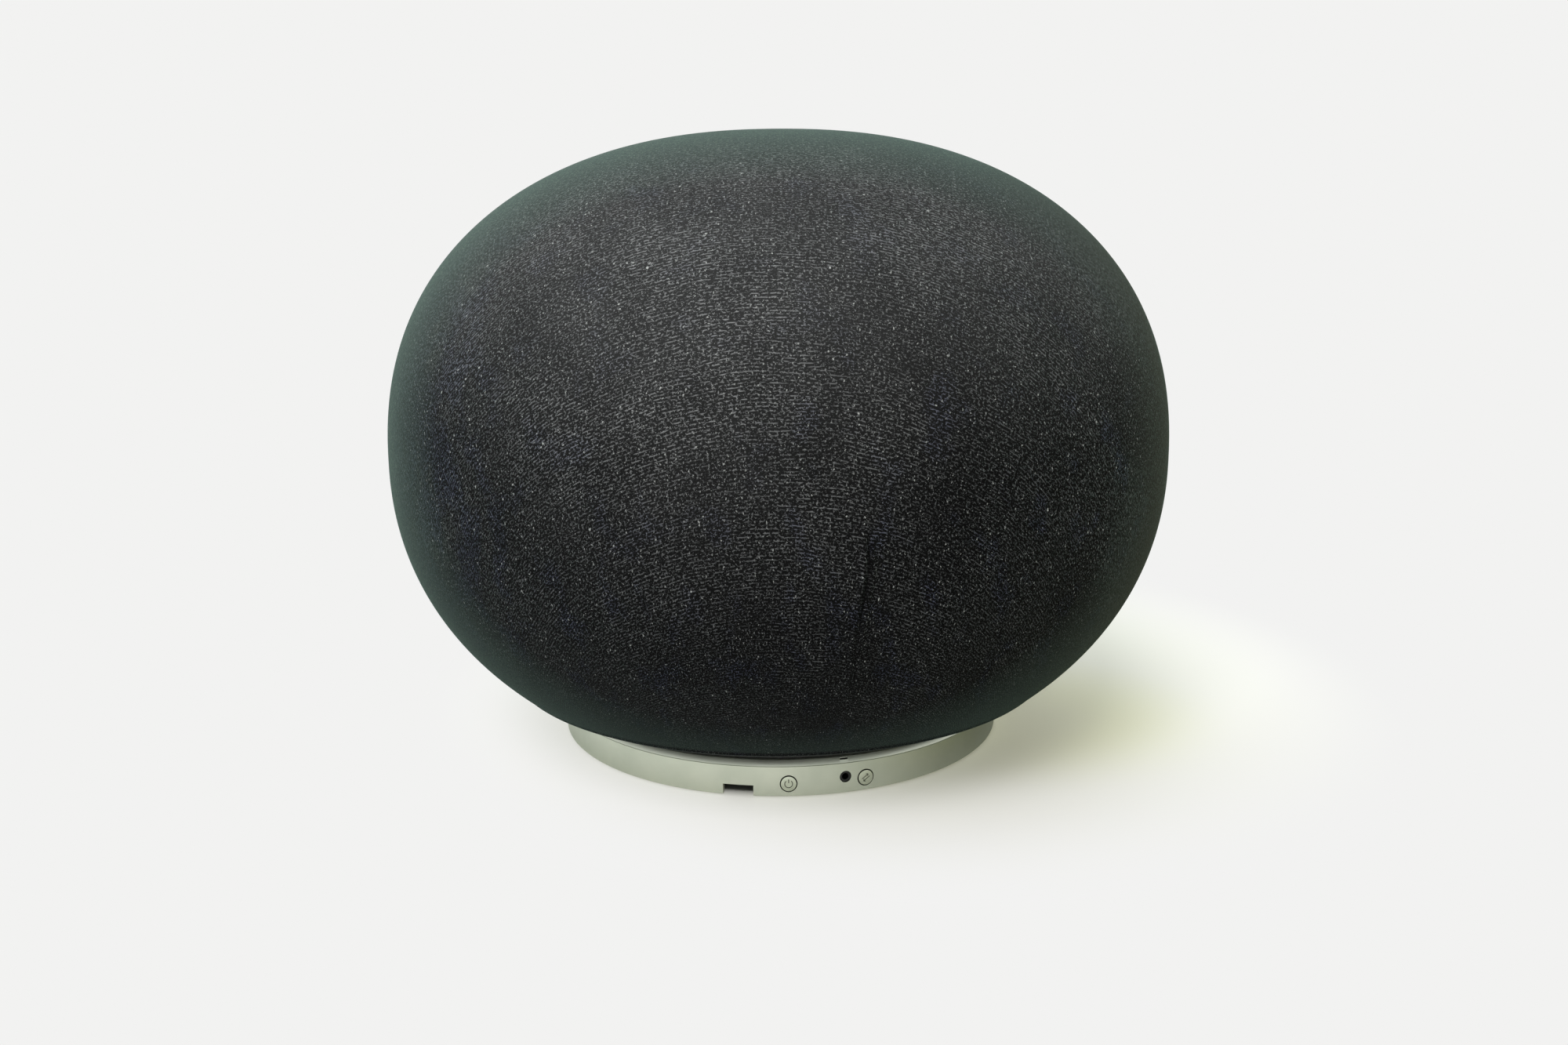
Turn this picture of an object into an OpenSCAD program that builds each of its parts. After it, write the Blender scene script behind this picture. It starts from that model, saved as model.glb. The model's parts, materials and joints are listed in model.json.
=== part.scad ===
// A cloth covered spherical speaker on a satin aluminium base ring.
// Millimetres. +Z is up, the table is at Z 0 and the ball stands over the origin.
// The controls face -Y and the loudspeaker drivers face +Y.

/* [Ball] */
// Width of the ball over its cloth
ball_d = 430; // [380:2:460]
// Height of the widest line of the ball above the table
mid_z = 160.5; // [156:0.5:168]
// Height from the widest line to the top
up_h = 174; // [165:1:185]
// Depth from the widest line to where the lower half would close
low_h = 172; // [168:1:178]
// Roundness of the upper half, where 2 is a plain ellipse
up_n = 2.27; // [2.1:0.01:2.4]
// Roundness of the lower half, where 2 is a plain ellipse
low_n = 2.13; // [2.05:0.01:2.2]
// Height of the cloth's lower edge above the table
hem_z = 34; // [33:0.5:36]
// Width of cloth turned under the rim
hem_turn = 8; // [6.5:0.5:9]
// Thickness of the knitted cloth
cloth_t = 0.8; // [0.6:0.1:1]
// Thickness of the grille under the cloth
grille_t = 3; // [2.5:0.1:4]
// Ribs round the grille
grille_ribs = 28; // [26:1:36]

/* [Base] */
// Outer width of the aluminium ring
ring_d = 250; // [244:1:256]
// Height of the ring's top above the table
ring_top = 20.2; // [19.8:0.1:21]
// Wall of the ring
ring_wall = 3.5; // [3:0.1:4]
// Chamfer round the ring's top
ring_chamfer = 2.7; // [2:0.1:3]
// Gap that the foot keeps between ring and table
foot_proud = 0.8; // [0.6:0.1:1]
// Thickness of the base plate
plate_t = 1.8; // [1.6:0.1:2]
// Thickness of the chassis plate
chassis_t = 3; // [2.5:0.1:3.5]
// Diameter of the long screws that hold the base together
base_screw_d = 3; // [2.6:0.1:3.4]

/* [Controls] */
// Direction of the cable notch, in degrees from the middle of the control side
notch_az = -10.3; // [-12:0.1:-10]
// Width of the cable notch
notch_w = 16; // [14:0.5:17]
// Height of the cable notch
notch_h = 6.5; // [6:0.1:7.5]
// Direction of the power button
power_az = 1.7; // [1:0.1:3]
// Direction of the audio socket
jack_az = 15.35; // [14.8:0.05:15.6]
// Direction of the source button
source_az = 20.4; // [20:0.1:22]
// Diameter of the buttons
button_d = 8.1; // [7:0.1:8.4]
// Height of the buttons' middle above the table
button_z = 7.6; // [7.6:0.1:8]
// Travel of the buttons
button_travel = 0.8; // [0.4:0.1:0.8]
// Height of the audio socket's middle
jack_z = 9.4; // [9.2:0.1:9.8]
// Diameter of the audio socket's nose
jack_nose_d = 5.7; // [5.2:0.1:6]
// Bore for the audio plug
jack_bore_d = 3.6; // [3.55:0.05:3.7]

/* [Sound] */
// Width of the inner enclosure
box_d = 330; // [322:1:340]
// Wall of the enclosure
box_wall = 6; // [5:0.5:7]
// Depth of the woofer's flat inside the enclosure's widest line
woofer_inset = 40; // [37:1:43]
// Outer radius of the woofer's frame
woofer_r = 76; // [70:1:78]
// Height of the woofer's axis
woofer_z = 155; // [152:1:158]
// Depth of the midrange flats inside the enclosure's widest line
mid_inset = 27; // [25:1:29]
// Direction of the midrange drivers from the front
mid_az = 60; // [58:1:62]
// Outer radius of the midrange frames
mid_r = 40; // [36:1:42]
// Direction of the tweeters from the front
tweeter_az = 30; // [28:1:32]
// Upward tilt of the tweeters
tweeter_tilt = 35; // [33:1:38]
// Stroke of the woofer each way
woofer_stroke = 5; // [3:0.5:5]
// Radius of the bass port
port_r = 26; // [22:1:28]

/* [Hidden] */
$fn = 96;

ball_r = ball_d / 2;
ring_r = ring_d / 2;
seat_gap = 0.3;           // between curved faces that lie on each other
screw_gap = 0.05;         // round a screw's shank
beyond = 1;               // how far a cutter runs past a face
big = 2 * ball_d;         // a cutter larger than the ball

// Ball: steps along the outline
up_steps = 32;
low_steps = 18;
grille_out = cloth_t + seat_gap;
grille_in = grille_out + grille_t;
lip_t = 2.4;
lip_h = 6;

// Stack of levels above the table
plate_z = foot_proud;
plate_top = plate_z + plate_t;
chassis_z = hem_z;
chassis_top = chassis_z + chassis_t;
rim_z = hem_z + cloth_t + seat_gap;
flange_t = 2.5;
flange_top = chassis_top + flange_t;

// Ring and neck radii
ring_in = ring_r - ring_wall;
lip_in = ring_r - 9;
ring_lip_t = 2.5;
ledge_t = 1.8;
ledge_w = 2.5;
ledge_free = 30;          // the ledge stays this many degrees clear of the control side
neck_r = lip_in - 0.5;
neck_wall = 3.5;
neck_z = 15.3;
shoulder_r = ring_r - 4;
shoulder_t = 2.5;
boss_r = 4.5;
boss_at = neck_r - neck_wall - boss_r + 1.5;
boss_az = -60;            // of the first boss, from +X
boss_free = 0.2;          // the bosses end short of the flare, which rests on the wall
plate_r = ring_in - seat_gap;
flare_h = 6;
hem_r = low_r(hem_z, 0);
clamp_out = hem_r - 3.5;
clamp_w = 7.7;
clamp_in = clamp_out - clamp_w;
clamp_t = 2;
chassis_r = clamp_in - 2.5;
collar_out = clamp_in - 0.5;
foot_w = 6;
foot_out = plate_r - 1.8;
foot_sunk = 0.9;
foot_open = foot_out - foot_w - 12;
screw_count = 6;
hem_screw_count = 8;
hem_screw_d = 2;
hem_screw_at = (clamp_in + clamp_out) / 2 + 0.5;
grille_screw_at = chassis_r - 6.5;
grille_in_r = chassis_r - 12.5;
grille_over = 2;          // how far a window's cutter stands outside the ball
grille_under = 9;         // and how far it reaches inside

// Controls
button_gap = 0.25;
button_flange = 0.85;
button_proud = 0.35;
button_flange_t = 1.2;
stem_r = 1.2;
mark_deep = 0.3;
board_t = 1.6;
board_top = jack_z - 3.4;
board_z = board_top - board_t;
plunger_gap = button_travel + 0.1;
stem_in = ring_in - 3.3;
led_az = jack_az - 0.35;
led_w = 4.2;
led_h = 0.9;
led_z = ring_top - 1.6;
guide_t = 2.2;            // of the light guide behind the ring's lip
guide_gap = 0.4;
jack_len = 14;
jack_w = 8;
jack_h = 6.8;
jack_gap = 0.2;
input_az = (jack_az + source_az) / 2;
shelf_d = 6;              // depth of the shelves under the small boards

// Cable well under the base, parallel to Y, and its mains inlet
well_x = ring_in * sin(notch_az) - 0.4;
well_w = 22;
well_wall = 1.6;
well_h = 12.7;
well_y = -58;
inlet_w = 21;
inlet_h = 12.5;
inlet_len = 20;
inlet_z = plate_z + 0.4;
socket_w = 15.6;
socket_h = 7.9;
socket_depth = 12;
pin_r = 1.2;
pin_x = 4.3;
pin_len = 9;

// Enclosure
box_r = box_d / 2;
box_mid = mid_z + 4.5;
box_up = 125;
box_low = 150;
box_steps = 16;
box_floor = chassis_top;
split_y = 20;
gasket_t = 1.2;
port_inset = 15;
tweeter_inset = 34;
woofer_flat = box_r - woofer_inset;
mid_flat = box_r - mid_inset;
port_flat = box_r - port_inset;
tweeter_at = box_r - tweeter_inset;
port_z = box_mid;
port_wall = 3;
port_len = 96;
lug_r = 6;
lug_len = 11;
lug_out = 5;              // from the shell to a lug's middle
lug_places = [44, 90, 136, 218, 322];
lug_screw_d = 3;
lug_screw_len = 18;
fixing_d = 3;
fixing_x = 50;
fixing_y = [-40, 60];

// Drivers: their pieces are drawn for a frame radius of 76
woofer_k = woofer_r / 76;
mid_k = mid_r / 76;
driver_hole = 68;
driver_screw_at = 72.5;
driver_flange = 4;
coil_end = -62;
magnet_gap = coil_end - woofer_stroke - 3;
tweeter_r = 28;
tweeter_body_r = 20;
tweeter_z = box_mid + 80;
tweeter_seat_r = 31;
tweeter_seat_len = 26;
tweeter_flange_t = 3;
tweeter_screw_at = tweeter_r - 3.5;
woofer_screw_d = 3;
woofer_screw_len = 9;
small_screw_d = 2;
small_screw_len = 7;

// Boards in the base as x, y, width and depth, their corner pads as x, y and height, and
// the capacitors as x and y on their board, radius and height
board_lift = plate_top + 5;
board_screw_d = 2;
board_screw_len = 4.5;
board_bore = 3.5;
psu = [-92, -28, 84, 82];
amp = [8, -28, 84, 82];
radio = [-24, 62, 48, 30];
capacitor_sizes = [[16, 22, 8, 18], [66, 22, 6, 17], [66, 60, 6, 17], [14, 62, 5, 14]];
function pads_of(b) = [for (x = [4, b[2] - 4], y = [4, b[3] - 4]) [b[0] + x, b[1] + y, board_lift]];
board_pads = concat(pads_of(psu), pads_of(amp), pads_of(radio));

// Outline of the ball
function up_point(i, t) = [
    (ball_r - i) * pow(cos(t), 2 / up_n), mid_z + (up_h - i) * pow(sin(t), 2 / up_n)];
function low_point(i, t) = [
    (ball_r - i) * pow(cos(t), 2 / low_n), mid_z - (low_h - i) * pow(sin(t), 2 / low_n)];
function low_end(i, z) = asin(pow((mid_z - z) / (low_h - i), low_n / 2));
function low_r(z, i) = low_point(i, low_end(i, z))[0];
function up_curve(i) = [for (k = [0:up_steps]) up_point(i, 90 * k / up_steps)];
function low_curve(i, z) = [
    for (k = [low_steps:-1:0]) low_point(i, low_end(i, z) * k / low_steps)];
function back(list) = [for (k = [len(list) - 1:-1:0]) list[k]];
function scaled(k, list) = [for (p = list) k * p];

module spin(points) {
    rotate_extrude() polygon(points);
}

// Turns a piece drawn at -Y to its place round the base
module facing(az) {
    rotate([0, 0, az]) children();
}

// Places a piece drawn along +Z so that it looks outwards, az degrees from +Y
module looking_out(az, tilt, out, z) {
    rotate([0, 0, az]) translate([0, out, z]) rotate([tilt - 90, 0, 0]) children();
}

// Repeats a piece evenly round the Z axis
module around(count, r, first = 0) {
    for (k = [0:count - 1]) rotate([0, 0, first + 360 * k / count]) translate([r, 0, 0]) children();
}

// A rod along Y that starts at y and runs outwards to -Y
module rod_out(r, length) {
    rotate([90, 0, 0]) cylinder(r = r, h = length);
}

// Cloth skin, stretched over the grille and turned under its rim
module fabric_cover() {
    hem_in = hem_r - hem_turn;
    color("#232526") difference() {
        spin(concat(
            low_curve(0, hem_z), up_curve(0), back(up_curve(cloth_t)),
            back(low_curve(cloth_t, hem_z + cloth_t)),
            [[hem_in, hem_z + cloth_t], [hem_in, hem_z]]));
        around(hem_screw_count, hem_screw_at)
            translate([0, 0, hem_z - beyond])
                cylinder(d = hem_screw_d + 2 * seat_gap, h = cloth_t + 2 * beyond);
    }
}

// One window of the grille between two angles of the outline
module window(corners) {
    pitch = 360 / grille_ribs;
    open = pitch * 0.82;
    for (k = [0:grille_ribs - 1]) rotate([0, 0, k * pitch - open / 2])
        rotate_extrude(angle = open) polygon(corners);
}

module grille_upper() {
    rows = 6;
    first = 5;
    pitch = 12.5;
    open = 10.5;
    color("#2b2c2d") difference() {
        union() {
            spin(concat(up_curve(grille_out), back(up_curve(grille_in))));
            spin([
                [ball_r - grille_in - lip_t, mid_z - lip_h],
                [ball_r - grille_in - seat_gap, mid_z - lip_h],
                [ball_r - grille_in - seat_gap, mid_z],
                [ball_r - grille_in + seat_gap, mid_z],
                [ball_r - grille_in + seat_gap, mid_z + lip_h],
                [ball_r - grille_in - lip_t, mid_z + lip_h]]);
        }
        for (k = [0:rows - 1]) {
            a = first + k * pitch;
            window([
                up_point(-grille_over, a), up_point(-grille_over, a + open),
                up_point(grille_under, a + open), up_point(grille_under, a)]);
        }
    }
}

module grille_lower() {
    rows = 3;
    first = 6;
    pitch = 11.5;
    open = 9.5;
    mid_in = (grille_in + grille_out) / 2;
    color("#2b2c2d") difference() {
        union() {
            spin(concat(low_curve(grille_out, rim_z), back(low_curve(grille_in, rim_z))));
            spin([
                [grille_in_r, chassis_top], [chassis_r + seat_gap, chassis_top],
                [chassis_r + seat_gap, rim_z], [low_r(rim_z, mid_in), rim_z],
                [low_r(flange_top, mid_in), flange_top], [grille_in_r, flange_top]]);
        }
        for (k = [0:rows - 1]) {
            a = first + k * pitch;
            window([
                low_point(-grille_over, a), low_point(-grille_over, a + open),
                low_point(grille_under, a + open), low_point(grille_under, a)]);
        }
        around(hem_screw_count, hem_screw_at)
            translate([0, 0, rim_z - beyond])
                cylinder(d = hem_screw_d + 2 * screw_gap, h = flange_top - rim_z + beyond - 0.5);
        around(screw_count, grille_screw_at, 360 / screw_count / 2)
            translate([0, 0, chassis_top - beyond])
                cylinder(d = hem_screw_d + 2 * screw_gap, h = flange_t + 2 * beyond);
    }
}

// Ring that presses the turned hem against the grille's rim
module hem_clamp_ring() {
    color("#161616") difference() {
        spin([
            [clamp_in, hem_z - clamp_t], [clamp_out, hem_z - clamp_t],
            [clamp_out, hem_z], [clamp_in, hem_z]]);
        around(hem_screw_count, hem_screw_at)
            translate([0, 0, hem_z - clamp_t - beyond])
                cylinder(d = hem_screw_d + 2 * screw_gap, h = clamp_t + 2 * beyond);
    }
}

// A pan head screw that points up, with its head's lower face at z 0
module screw_up(d, length) {
    cylinder(d = d, h = length);
    cylinder(d = 1.8 * d, h = 0.6 * d);
}

module hem_screws() {
    color("silver") around(hem_screw_count, hem_screw_at)
        translate([0, 0, hem_z - clamp_t - 0.6 * hem_screw_d])
            screw_up(hem_screw_d, rim_z - hem_z + clamp_t + 0.6 * hem_screw_d + 3);
}

module grille_screws() {
    color("silver") around(screw_count, grille_screw_at, 360 / screw_count / 2)
        translate([0, 0, chassis_z - 0.6 * hem_screw_d])
            screw_up(hem_screw_d, 0.6 * hem_screw_d + chassis_t + flange_t + 1);
}

// Black neck between ring and ball, with the bosses of the long screws
module neck_collar() {
    neck_top = chassis_z - flare_h;
    color("#141414") difference() {
        union() {
            spin([
                [neck_r - neck_wall, neck_z], [neck_r, neck_z], [neck_r, ring_top],
                [shoulder_r, ring_top], [shoulder_r, ring_top + shoulder_t],
                [neck_r + 2, neck_top], [neck_r - neck_wall, neck_top]]);
            around(screw_count, boss_at, boss_az) translate([0, 0, plate_top])
                cylinder(r = boss_r, h = neck_top - boss_free - plate_top);
        }
        around(screw_count, boss_at, boss_az)
            translate([0, 0, plate_top - beyond])
                cylinder(d = base_screw_d + 2 * screw_gap, h = neck_top - plate_top + 2 * beyond);
    }
}

// Flared plate on the neck, clamped under the chassis by the long screws
module neck_flare() {
    flare_z = chassis_z - flare_h;
    color("#141414") difference() {
        spin([
            [boss_at - boss_r - 1, flare_z], [neck_r + 2, flare_z],
            [collar_out, chassis_z - clamp_t], [collar_out, chassis_z],
            [boss_at - boss_r - 1, chassis_z]]);
        around(screw_count, boss_at, boss_az) translate([0, 0, flare_z - beyond])
            cylinder(d = base_screw_d + 2 * screw_gap, h = flare_h + 2 * beyond);
        around(screw_count, grille_screw_at, 360 / screw_count / 2)
            translate([0, 0, chassis_z - 0.6 * hem_screw_d - seat_gap])
                cylinder(d = 1.8 * hem_screw_d + 2 * seat_gap, h = hem_screw_d);
    }
}

// Turned aluminium ring with a chamfer, a lip that the neck stands on, and the control side
module base_ring() {
    color("#b4b7b0") difference() {
        union() {
            spin([
                [ring_in, foot_proud], [ring_r, foot_proud],
                [ring_r, ring_top - ring_chamfer], [ring_r - ring_chamfer, ring_top],
                [lip_in, ring_top], [lip_in, ring_top - ring_lip_t],
                [ring_in, ring_top - ring_lip_t]]);
            rotate([0, 0, ledge_free - 90]) rotate_extrude(angle = 360 - 2 * ledge_free)
                polygon([
                    [ring_in - ledge_w, plate_top], [ring_in + seat_gap, plate_top],
                    [ring_in + seat_gap, plate_top + ledge_t],
                    [ring_in - ledge_w, plate_top + ledge_t]]);
        }
        facing(notch_az) translate([-notch_w / 2, -ring_r - beyond, 0])
            cube([notch_w, 2 * ring_wall + beyond, notch_h]);
        for (az = [power_az, source_az])
            facing(az) translate([0, beyond - ring_in, button_z])
                rod_out(button_d / 2 + button_gap, ring_wall + 3 * beyond);
        facing(jack_az) translate([0, beyond - ring_in, jack_z])
            rod_out(jack_nose_d / 2 + jack_gap, ring_wall + 3 * beyond);
        facing(led_az) translate([-led_w / 2, -ring_r - beyond, led_z])
            cube([led_w, ring_r - lip_in + 2 * beyond, led_h]);
        facing(led_az) translate([-led_w / 2, -lip_in - guide_t - guide_gap, neck_z])
            cube([led_w, guide_t + guide_gap + beyond, led_z + led_h - neck_z]);
    }
}

// Box shape of the cable well, grown by g, from height z up
module well_box(g, z, top) {
    translate([well_x - well_w / 2 - g, -plate_r - 2, z])
        cube([well_w + 2 * g, plate_r + 2 + well_y + g, top - z]);
}

// Base plate with the cable well, the groove of the foot and the pads of the boards
module base_plate() {
    well_top = plate_z + well_h;
    color("#1b1b1b") difference() {
        union() {
            translate([0, 0, plate_z]) cylinder(r = plate_r, h = plate_t);
            intersection() {
                well_box(well_wall, plate_z, well_top + well_wall);
                translate([0, 0, plate_z]) cylinder(r = plate_r, h = well_h + well_wall);
            }
            translate([well_x - inlet_w / 2 - well_wall, well_y, plate_z])
                cube([inlet_w + 2 * well_wall, inlet_len + well_wall, inlet_h + 2]);
            for (p = board_pads) translate([p[0], p[1], plate_z])
                cylinder(r = 3, h = p[2] - plate_z);
            facing(power_az) translate([-shelf_d, shelf_d / 2 - stem_in, plate_z])
                cube([2 * shelf_d, shelf_d, board_z - plate_z]);
            facing(input_az) translate([-1.5 * shelf_d, shelf_d / 2 - stem_in, plate_z])
                cube([3 * shelf_d, shelf_d, board_z - plate_z]);
        }
        well_box(0, plate_z - beyond, well_top);
        translate([well_x - inlet_w / 2, well_y - well_wall - beyond, plate_z - beyond])
            cube([inlet_w, inlet_len + well_wall + beyond, inlet_h + 0.4 + beyond]);
        difference() {
            translate([0, 0, plate_z - beyond])
                cylinder(r = foot_out + 0.2, h = foot_sunk + beyond);
            translate([0, 0, plate_z - beyond])
                cylinder(r = foot_out - foot_w - 0.2, h = foot_sunk + beyond);
        }
        around(screw_count, boss_at, boss_az) {
            translate([0, 0, plate_z - beyond])
                cylinder(d = base_screw_d + 2 * screw_gap, h = plate_t + 2 * beyond);
            translate([0, 0, plate_z - beyond])
                cylinder(d = 1.8 * base_screw_d + 2 * screw_gap, h = beyond + plate_t / 2);
        }
        for (p = board_pads) translate([p[0], p[1], p[2] - board_bore])
            cylinder(d = board_screw_d + 2 * screw_gap, h = board_bore + beyond);
        at_pins() rod_out(pin_r + seat_gap, inlet_len);
    }
}

// Places a piece at the inner end of each mains pin
module at_pins() {
    for (side = [-1, 1])
        translate([well_x + side * pin_x, well_y + inlet_len + 3, inlet_z + inlet_h / 2])
            children();
}

// Rubber foot, open where the cable leaves
module foot_ring() {
    color("#2a2a2a") difference() {
        spin([
            [foot_out - foot_w, 0], [foot_out, 0],
            [foot_out, plate_z + foot_sunk], [foot_out - foot_w, plate_z + foot_sunk]]);
        translate([well_x - well_w / 2 - 2, -ring_r, -beyond])
            cube([well_w + 4, ring_r - foot_open, plate_z + foot_sunk + 2 * beyond]);
    }
}

module base_screws() {
    head_z = plate_z + 0.1;
    color("silver") around(screw_count, boss_at, boss_az) translate([0, 0, head_z]) {
        cylinder(d = base_screw_d, h = chassis_top - head_z);
        cylinder(d = 1.8 * base_screw_d, h = plate_t / 2 - 0.1);
    }
}

// Steel plate that the grille, the neck and the enclosure are fixed to
module chassis_plate() {
    color("#8d8f91") difference() {
        translate([0, 0, chassis_z]) cylinder(r = chassis_r, h = chassis_t);
        around(screw_count, boss_at, boss_az) translate([0, 0, chassis_z - beyond])
            cylinder(d = base_screw_d + 2 * screw_gap, h = chassis_t + 2 * beyond);
        around(screw_count, grille_screw_at, 360 / screw_count / 2)
            translate([0, 0, chassis_z - beyond])
                cylinder(d = hem_screw_d + 2 * screw_gap, h = chassis_t + 2 * beyond);
        around(3, 96, 90) translate([0, 0, chassis_z - beyond])
            cylinder(r = 6, h = chassis_t + 2 * beyond);
        at_fixings() cylinder(d = fixing_d + 2 * screw_gap, h = chassis_t + 2 * beyond);
    }
}

// Places the screws that hold the enclosure down on the chassis
module at_fixings() {
    for (x = [-fixing_x, fixing_x], y = fixing_y) translate([x, y, chassis_z - beyond]) children();
}

// A button: cap, flange behind the ring's wall and a stem for its switch
module button_body() {
    r = button_d / 2;
    intersection() {
        union() {
            translate([0, beyond - ring_in, 0]) rod_out(r, ring_wall + button_proud + 2 * beyond);
            translate([0, -ring_in + seat_gap + button_flange_t, 0])
                rod_out(r + button_flange, button_flange_t);
            translate([0, -stem_in, 0]) rod_out(stem_r, 3);
        }
        cylinder(r = ring_r + button_proud, h = 2 * button_d, center = true);
    }
}

// Power mark: a ring open at the top and a bar
module power_mark() {
    mark_r = 2;
    line = 0.45;
    open = 38;
    translate([0, mark_deep - ring_r - button_proud, 0]) rotate([90, 0, 0]) {
        rotate([0, 0, 90 + open]) rotate_extrude(angle = 360 - 2 * open)
            translate([mark_r - line / 2, 0]) square([line, 2 * mark_deep]);
        translate([-line / 2, mark_r / 4, 0]) cube([line, mark_r, 2 * mark_deep]);
    }
}

// Source mark: two slanted arrows that point opposite ways
module source_mark() {
    line = 0.4;
    reach = 2.1;
    translate([0, mark_deep - ring_r - button_proud, 0]) rotate([90, 0, 0])
        rotate([0, 0, 35]) for (way = [0, 180]) rotate([0, 0, way]) translate([0, 0.75, 0]) {
            translate([-reach, -line / 2, 0]) cube([2 * reach, line, 2 * mark_deep]);
            for (side = [-1, 1]) translate([reach, 0, 0]) rotate([0, 0, 180 + side * 42])
                translate([0, -line / 2, 0]) cube([1.3, line, 2 * mark_deep]);
        }
}

module power_button() {
    color("#c3c5bf") facing(power_az) translate([0, 0, button_z]) difference() {
        button_body();
        power_mark();
    }
}

module source_button() {
    color("#b9bbb4") facing(source_az) translate([0, 0, button_z]) difference() {
        button_body();
        source_mark();
    }
}

// Push switch that stands on a board behind a button
module push_switch() {
    sunk = 0.2;
    plunger = 1.5;
    translate([-3, plunger_gap + plunger - stem_in, board_top - sunk]) cube([6, 4, 3.2 + sunk]);
    translate([0, plunger_gap + plunger - stem_in, button_z]) rod_out(stem_r, plunger);
}

module power_switch_board() {
    color("#1f5a3a") facing(power_az) {
        translate([-7, -stem_in - 0.5, board_z]) cube([14, 14, board_t]);
        push_switch();
    }
}

module input_board() {
    color("#1f5a3a") {
        facing(input_az) translate([-12.5, -stem_in - 0.5, board_z]) cube([25, 20, board_t]);
        facing(source_az) push_switch();
    }
}

// Audio socket: its body stands on the input board and its nose fills the ring's hole
module aux_jack() {
    nose_end = ring_r - 0.6;
    color("#0e0e0e") facing(jack_az) difference() {
        union() {
            translate([-jack_w / 2, -ring_in + seat_gap, board_top])
                cube([jack_w, jack_len, jack_h]);
            translate([0, -ring_in + seat_gap + 1, jack_z])
                rod_out(jack_nose_d / 2, nose_end - ring_in + seat_gap + 1);
        }
        translate([0, jack_len - nose_end, jack_z]) rod_out(jack_bore_d / 2, jack_len + beyond);
    }
}

// Light window in the ring's chamfer, with its light guide over the audio socket
module status_light() {
    play = 0.1;
    w = led_w - 2 * play;
    sunk = 1.9;
    foot_z = jack_z + 3.5;
    color("#202020") facing(led_az) {
        translate([-w / 2, sunk - ring_r, led_z + play])
            cube([w, ring_r - lip_in - sunk - 2 * play, led_h - 2 * play]);
        translate([-w / 2, -lip_in - guide_t - 2 * play, foot_z])
            cube([w, guide_t, led_z + led_h - play - foot_z]);
    }
}

// Mains inlet with an open socket that faces the cable well
module mains_inlet() {
    face_y = well_y - well_wall;
    color("#101010") difference() {
        union() {
            translate([well_x - inlet_w / 2 + 0.1, well_y + 0.1, inlet_z])
                cube([inlet_w - 0.2, inlet_len - 0.2, inlet_h - 0.6]);
            translate([well_x - inlet_w / 2 + 0.1, face_y + 0.2, inlet_z])
                cube([inlet_w - 0.2, well_wall, inlet_h - 0.6]);
        }
        socket_space();
        at_pins() rod_out(pin_r + screw_gap, inlet_len);
    }
}

// The round ended space for the mains plug
module socket_space() {
    r = socket_h / 2;
    z = inlet_z + inlet_h / 2;
    for (side = [-1, 1])
        translate([well_x + side * (socket_w / 2 - r), well_y - well_wall + socket_depth, z])
            rod_out(r, socket_depth + beyond);
    translate([well_x - socket_w / 2 + r, well_y - well_wall - beyond, z - r])
        cube([socket_w - 2 * r, socket_depth + beyond, socket_h]);
}

module inlet_pins() {
    color("#c9b46a") at_pins()
        rod_out(pin_r, inlet_len + 3 + well_wall - socket_depth + pin_len);
}

// Enclosure as a solid, drawn in by i
module box_solid(i) {
    r = box_r - i;
    up = box_up - i;
    low = box_low - i;
    floor_z = box_floor + i;
    low_a = asin((box_mid - floor_z) / low);
    difference() {
        spin(concat(
            [[0, floor_z]],
            [for (k = [box_steps:-1:0]) let (t = low_a * k / box_steps)
                [r * cos(t), box_mid - low * sin(t)]],
            [for (k = [1:box_steps]) let (t = 90 * k / box_steps)
                [r * cos(t), box_mid + up * sin(t)]]));
        translate([-big / 2, woofer_flat - i, 0]) cube(big);
        for (az = [-mid_az, mid_az]) rotate([0, 0, az])
            translate([-big / 2, mid_flat - i, 0]) cube(big);
        translate([-big / 2, i - port_flat - big, 0]) cube(big);
    }
}

// Places a lug on the split line of the enclosure
module at_lugs() {
    across = sqrt(pow(box_r, 2) - pow(split_y, 2));
    for (a = lug_places) {
        high = (sin(a) > 0 ? box_up : box_low) * across / box_r;
        translate([(across + lug_out) * cos(a), 0, box_mid + (high + lug_out) * sin(a)])
            children();
    }
}

module box_shell() {
    difference() {
        box_solid(0);
        box_solid(box_wall);
    }
}

module enclosure_front() {
    front_y = split_y + gasket_t / 2;
    color("#3a3b3d") difference() {
        union() {
            difference() {
                union() {
                    box_shell();
                    for (side = [-1, 1])
                        tweeter_place(side)
                            translate([0, 0, -tweeter_seat_len])
                                cylinder(r = tweeter_seat_r, h = tweeter_seat_len);
                }
                translate([-big / 2, front_y - big, 0]) cube(big);
            }
            at_lugs() translate([0, front_y + lug_len, 0]) rod_out(lug_r, lug_len);
        }
        box_hollow_for_lugs(front_y);
        woofer_place() bore(driver_hole * woofer_k, 2 * box_wall);
        for (side = [-1, 1]) {
            mid_place(side) bore(driver_hole * mid_k, 2 * box_wall);
            tweeter_place(side) bore(tweeter_body_r + seat_gap, 1.5 * tweeter_seat_len);
        }
        woofer_screw_places() bore(woofer_screw_d / 2 + screw_gap, woofer_screw_len);
        small_screw_places() bore(small_screw_d / 2 + screw_gap, small_screw_len);
        at_fixings() cylinder(d = fixing_d + 2 * screw_gap, h = box_floor + box_wall - chassis_z);
        at_lugs() translate([0, front_y + lug_len + beyond, 0])
            rod_out(lug_screw_d / 2 + screw_gap, lug_len + 2 * beyond);
    }
}

// A hole that goes down from a mounting face
module bore(r, depth) {
    translate([0, 0, -depth]) cylinder(r = r, h = depth + beyond);
}

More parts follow.
